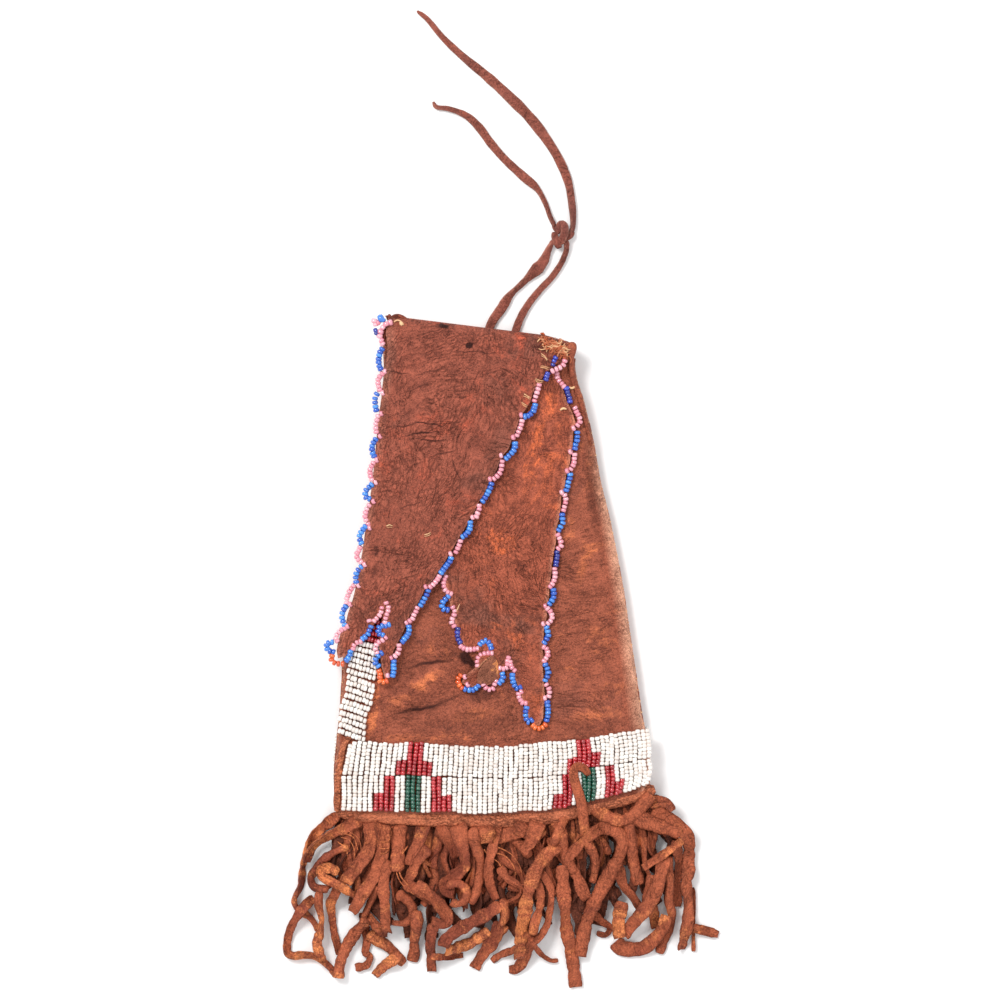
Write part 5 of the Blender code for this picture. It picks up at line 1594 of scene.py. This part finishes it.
def add_welt():
    """The rolled hide welt along the bottom seam, the band's rim, and the seam ridges up the sides."""
    line = smooth(line_at(band_rim, band_rim_level), 0.001)
    shares = np.linspace(0, 1, len(line))
    bump = wander(shares * 12, 5.2, 1.7)
    width = np.interp(shares, *band_rim_widths) * (1 + 0.15 * bump)
    line[:, 2] -= np.interp(shares, *band_rim_fall)
    ends = taper(len(line), 0.6, 0.5)
    add_strips("band_rim_roll", [strip_body(line, width / 2 * ends, width * 0.36 * ends, bump * 0.3, 12)],
               [0.6], welt_hide, "root")
    line = smooth([at(pixel) for pixel in welt_line], 0.0012)
    shares = np.linspace(0, 1, len(line))
    bump = wander(shares * 26, 2.2, 7.7)
    ends = taper(len(line), 0.7, 0.7)
    line[:, 2] = welt_level + 0.0008 + bump * 0.0003
    body = strip_body(line, np.interp(shares, *welt_widths) / 2 * ends * (1 + 0.10 * bump),
                      np.interp(shares, *welt_heights) / 2 * ends * (1 + 0.12 * bump), bump * 0.25, 20)
    # Painted shade along the sides of the welt
    add_strips("rolled_welt", [body], [0.2], welt_hide, "root", ["bottom_welt"], -0.1)
    for side, outline, inset in (("left", left_outline, 0.0002), ("right", right_outline, -0.0004)):
        line = smooth(line_at(outline, side_middle), 0.0012)[6:-6]
        line[:, 0] += inset
        ridge = wander(np.arange(len(line)) * 0.35, 4.1, inset * 900)
        ends = taper(len(line), 0.6, 0.6)
        body = strip_body(line, (0.0007 + ridge * 0.0002) * ends, (0.0011 + ridge * 0.0003) * ends,
                          ridge * 0.2, 10)
        add_strips(f"{side}_seam_ridge", [body], [0.3], pouch_hide, "root", [f"{side}_seam"])


# Sinew, in pixels with a height in millimetres
flap_stitches = (
    ((541, 354, 13.6), (545, 356.6, 13.7), (547.5, 360, 13.4)),
    ((540.5, 366.5, 13.5), (545, 367, 13.8), (549, 368.5, 13.3)),
    ((535, 379.5, 13.3), (539, 381.4, 13.6), (543, 380.8, 13.2)),
    ((523.5, 394.5, 13.2), (526.5, 396, 13.6), (530, 398.8, 13.2)),
    ((522, 403, 13.2), (524.8, 405.5, 13.6), (527.5, 406.2, 13.2)),
    ((386.5, 527, 13.2), (389.5, 525.6, 13.5), (392.6, 526.2, 13.2)),
    ((425, 535.5, 13.2), (428, 534, 13.5), (431, 532.6, 13.2)),
    ((456.5, 611.5, 13.0), (458, 608, 13.2), (459.2, 604.4, 12.9)))
left_loop = ((394, 322, 0.1), (396.6, 320.2, 0.6), (399.6, 320.4, 0.8), (402.4, 322.6, 0.6), (404, 325, 0.1))
left_blob = ((400.4, 322.4, 0.6), (401.8, 323.8, 0.8), (402.6, 325.2, 0.5))
corner_lobe = (
    (390.4, 319.6, 8.6), (393.4, 316.2, 8.8), (398, 315.2, 8.9), (402.6, 316.6, 8.8), (408, 320.2, 8.6))
# A dark thread along the flap's left edge, which also fills the dark gap beside the corner beads: thread and
# painted shade
corner_thread = ((387.6, 325, 10.4), (384.8, 330.6, 11.0), (384.2, 337, 11.4), (383.6, 344, 11.6))
corner_roll = (
    (571.4, 343.8, 10.2), (571.6, 347, 11.4), (571.2, 353, 12.0), (571, 361, 11.0), (571.4, 369, 9.6),
    (573.6, 380, 9.0), (579, 396, 8.9), (585.2, 420, 8.7), (591, 446, 8.4))
panel_stitches = (
    ((568.5, 386.8, 9.4), (572, 388, 9.8), (575.5, 385.6, 9.3)),
    ((560, 410, 11.2), (563, 408.2, 11.6), (566.4, 409, 11.2)))
corner_roll_radii = ((0, 0.03, 0.08, 0.15, 0.5, 1), (0.0018, 0.0020, 0.0018, 0.0011, 0.0010, 0.0006))
stitch_threads = ((0.0, 0.0), (1.1, 0.15), (-0.6, 0.25))
side_stitches = 34, 36
side_stitch_radius = 0.00028
panel_stitch_radius = 0.00045

# The frayed sinew at the right corner: its line and reach in pixels, its fibres and its lumps
tangle_line = ((544, 341.5), (551, 343.5), (558, 347), (564.5, 351))
tangle_reach = 6.0
tangle_fibres = 110
tangle_lumps = 16


def tube(points, radius, sides=6):
    """Points and faces of a thin round tube through a few points."""
    line = smooth(points, max(0.0004, radius))
    return rod(line, radius * taper(len(line), 0.7, 0.7, 2), sides)


def flap_stitch_bodies(draw):
    """Three threads for each stitch along the edges of the flaps."""
    stitches = []
    for stitch in flap_stitches:
        for aside, rise in stitch_threads:
            spots = [(x + draw.uniform(-0.9, 0.9), y + aside + draw.uniform(-0.5, 0.5), z + rise)
                     for x, y, z in stitch]
            stitches.append(tube(raised(spots), draw.uniform(0.00010, 0.00018)))
    return stitches


def tangle_bodies(draw, spread):
    """Short bent fibres of frayed sinew, thrown about a line."""
    fibres = []
    for number in range(tangle_fibres):
        middle = along(spread, [(number + 0.5) / tangle_fibres])[0]
        middle = Vector(middle + np.array([draw.gauss(0, 0.45), draw.gauss(0, 0.55), 0]) * tangle_reach
                        * pixel_size[0])
        heading = draw.uniform(-0.9, 0.9)
        bend = draw.uniform(0.4, 1.1) * draw.choice((-1, 1))
        reach = draw.uniform(0.0010, 0.0026)
        points = []
        for part in (-1.0, -0.5, 0.0, 0.5, 1.0):
            turn = heading + bend * part
            spot = middle + Vector((math.cos(turn), math.sin(turn), 0)) * reach * part
            spot.z = fold_top(spot.x, spot.y) + 0.0002 + number % 5 * 0.0002 + 0.0004 * math.cos(part * 2)
            points.append(spot)
        line = smooth(points, 0.0004)
        half = draw.uniform(0.00012, 0.00030) * taper(len(line), 0.8, 0.8)
        turns = np.linspace(draw.uniform(-0.8, 0.8), draw.uniform(-0.8, 0.8), len(line))
        fibres.append(strip_body(line, half, np.minimum(half, 0.00022), turns, 8))
    return fibres


def side_stitch_bodies():
    """Stitches across the two side seams, each from the front round to the back."""
    stitches = []
    for outline, outwards, count in zip((left_outline, right_outline), (-1, 1), side_stitches):
        spots = along(line_at(outline, side_middle), np.linspace(0.05, 0.95, count))
        for spot, run in zip(spots, run_of(spots)):
            out = np.array([run[1], -run[0], 0]) * outwards
            lean = run * 0.0007
            stitches.append(tube([spot - out * 0.0004 - lean + (0, 0, 0.0016),
                                  spot + out * 0.0009 + (0, 0, 0.0002),
                                  spot - out * 0.0004 + lean - (0, 0, 0.0014)], side_stitch_radius))
    return stitches


def lobe_bodies(draw):
    """The torn lobe of hide at the left corner, its thread and its frayed tips."""
    lobe = smooth(raised(corner_lobe), 0.0005)
    bodies = [rod(lobe, 0.0007 * taper(len(lobe), 0.4, 0.4), 10), tube(raised(corner_thread), 0.0007)]
    for number in range(9):
        tip = (385.4 + number * 0.75 + draw.uniform(-0.3, 0.3),
               313 + abs(number - 5) * 0.5 + draw.uniform(0, 1.6))
        root, middle = (387.6 + number * 0.3, 319.4), (387 + number * 0.4, 316.4)
        bodies.append(tube([at(root, 0.0088), at(middle, 0.0096), at(tip, 0.0098)],
                           draw.uniform(0.0002, 0.0004)))
    return bodies


def lump_bodies(draw, spread):
    """Lumps of hide among the frayed sinew."""
    lumps = []
    for number in range(tangle_lumps):
        middle = along(spread, [(number + 0.5) / tangle_lumps])[0]
        x, y = middle[0] + draw.gauss(0, 0.0010), middle[1] + draw.gauss(0, 0.0014)
        turn, reach = draw.uniform(-0.8, 0.8), draw.uniform(0.0008, 0.0016)
        step = (math.cos(turn) * reach, math.sin(turn) * reach)
        level = fold_top(x, y)
        line = smooth([(x - step[0], y - step[1], level), (x, y, level + 0.0007),
                       (x + step[0], y + step[1], level)], 0.0004)
        half = draw.uniform(0.0004, 0.0009) * taper(len(line), 0.8, 0.8)
        lumps.append(strip_body(line, half, half * 0.6, np.full(len(line), draw.uniform(-0.6, 0.6)), 10))
    return lumps


def add_sinew():
    """Stitches of sinew, the frayed ends at the right corner and the loop at the left one."""
    draw = random.Random(5)
    spread = line_at(tangle_line)
    stitches = flap_stitch_bodies(draw) + tangle_bodies(draw, spread)
    stitches.append(tube([on_fold(spot) for spot in left_loop], 0.00032))
    stitches.append(tube([on_fold(spot) for spot in left_blob], 0.00085))
    tones = [draw.uniform(0.1, 0.7) for _ in flap_stitches * len(stitch_threads)]
    tones += [draw.choice((0.4, 0.8, 1.0, 1.2, 1.2)) for _ in range(tangle_fibres)] + [0.3, 0.1]
    add_strips("flap_sinew", stitches, tones, sinew, "over_flap", ["corner_stitch"])
    sides = [tube(raised(panel_stitches[0]), panel_stitch_radius)] + side_stitch_bodies()
    add_strips("side_sinew", sides, [draw.uniform(0.1, 0.6) for _ in sides], sinew, "root")
    line = smooth(raised(corner_roll), 0.0006)
    thick = np.interp(np.linspace(0, 1, len(line)), *corner_roll_radii) * taper(len(line), 0.5, 0.6)
    add_strips("right_corner_roll", [rod(line, thick, 12)], [0.2], pouch_hide, "root")
    bodies = lobe_bodies(draw)
    # The lobe, its thread and its tips are darkened all over, the thread partly as painted shade
    add_strips("left_corner_lobe", bodies, [0.2] * len(bodies), flap_hide, "over_flap",
               depth=0.12)
    lumps = lump_bodies(draw, spread)
    # Painted shade along the sides of the lumps
    add_strips("corner_lumps", lumps, [draw.uniform(0.3, 1.0) for _ in lumps], under_hide,
               "over_flap", rim=-0.2)
    add_strips("under_flap_sinew", [tube(raised(panel_stitches[1]), panel_stitch_radius)], [0.1], sinew,
               "under_flap")


# Camera, floor and light


def add_camera():
    """The camera of the photograph: straight above the table, with a long lens."""
    data = bpy.data.cameras.new("camera")
    data.sensor_width = sensor_width
    data.lens = sensor_width * (camera_height - view_level) / view_width
    camera = bpy.data.objects.new("camera", data)
    camera.location = at(camera_pixel, camera_height)
    bpy.context.collection.objects.link(camera)
    bpy.context.scene.camera = camera


def add_light(name, place, size, energy, shade):
    """A soft square lamp that points at the middle of the pouch."""
    data = bpy.data.lights.new(name, "AREA")
    data.size = size
    data.energy = energy
    data.color = shade
    lamp = bpy.data.objects.new(name, data)
    lamp.location = place
    lamp.rotation_mode = "QUATERNION"
    lamp.rotation_quaternion = (Vector((0, 0.03, 0)) - Vector(place)).to_track_quat("-Z", "Y")
    bpy.context.collection.objects.link(lamp)


def add_surroundings():
    """A plain pale floor, a soft key light from the upper left and an even sky."""
    bpy.ops.object.select_all(action="DESELECT")
    bpy.ops.mesh.primitive_plane_add(size=8, location=(0, 0, -0.0002))
    floor = bpy.context.object
    floor.name = "floor"
    material, shader, place, tone = finish("pale_floor", {"Roughness": 0.8, "Specular IOR Level": 0.1})
    feed(shader, Base_Color=place.cloud(3, 2).mixed(colour(247, 247, 248), colour(250, 250, 250)))
    floor.data.materials.append(material)
    world = bpy.data.worlds.new("studio")
    world.use_nodes = True
    world.node_tree.nodes["Background"].inputs["Color"].default_value = (1.0, 1.0, 1.0, 1.0)
    world.node_tree.nodes["Background"].inputs["Strength"].default_value = 0.86
    bpy.context.scene.world = world
    add_light("key_light", (-0.75, 0.80, 1.60), 0.55, 23.0, (1.0, 0.99, 0.97))
    add_light("fill_light", (0.9, -0.3, 1.2), 1.2, 2.5, (0.97, 0.98, 1.0))
    bpy.context.scene.view_settings.view_transform = "Standard"


add_camera()
add_thong()
add_panels()
add_flaps()
add_band()
add_side_strip()
add_corner_beads()
edge_strings("over_flap", (
    ("left_string", over_left_string, "over_flap_left_beads"),
    ("left_tip", over_left_tip_string, "over_flap_left_tip_beads"),
    ("left_tab_string", over_left_tab_string, "over_flap_left_tab_beads"),
    ("right_tab_string", over_right_tab_string, "over_flap_right_tab_beads"),
    ("right_tip", over_right_tip_string, "over_flap_right_tip_beads"),
    ("right_string", over_right_string, "over_flap_right_beads")), over_level)
edge_strings("over_flap", (("corner_string", corner_string, None),), lambda x, y: corner_string_level)
edge_strings("under_flap", (
    ("left_string", hidden_string() + under_left_string, "under_flap_left_beads"),
    ("left_tip", under_left_tip_string, "under_flap_left_tip_beads"),
    ("left_tab_string", under_left_tab_string, "under_flap_left_tab_beads"),
    ("right_tab_string", under_right_tab_string, "under_flap_right_tab_beads"),
    ("right_tip", under_right_tip_string, "under_flap_right_tip_beads"),
    ("right_string", under_right_string, "under_flap_right_beads")), under_level)
add_welt()
add_fringe()
add_sinew()
add_surroundings()
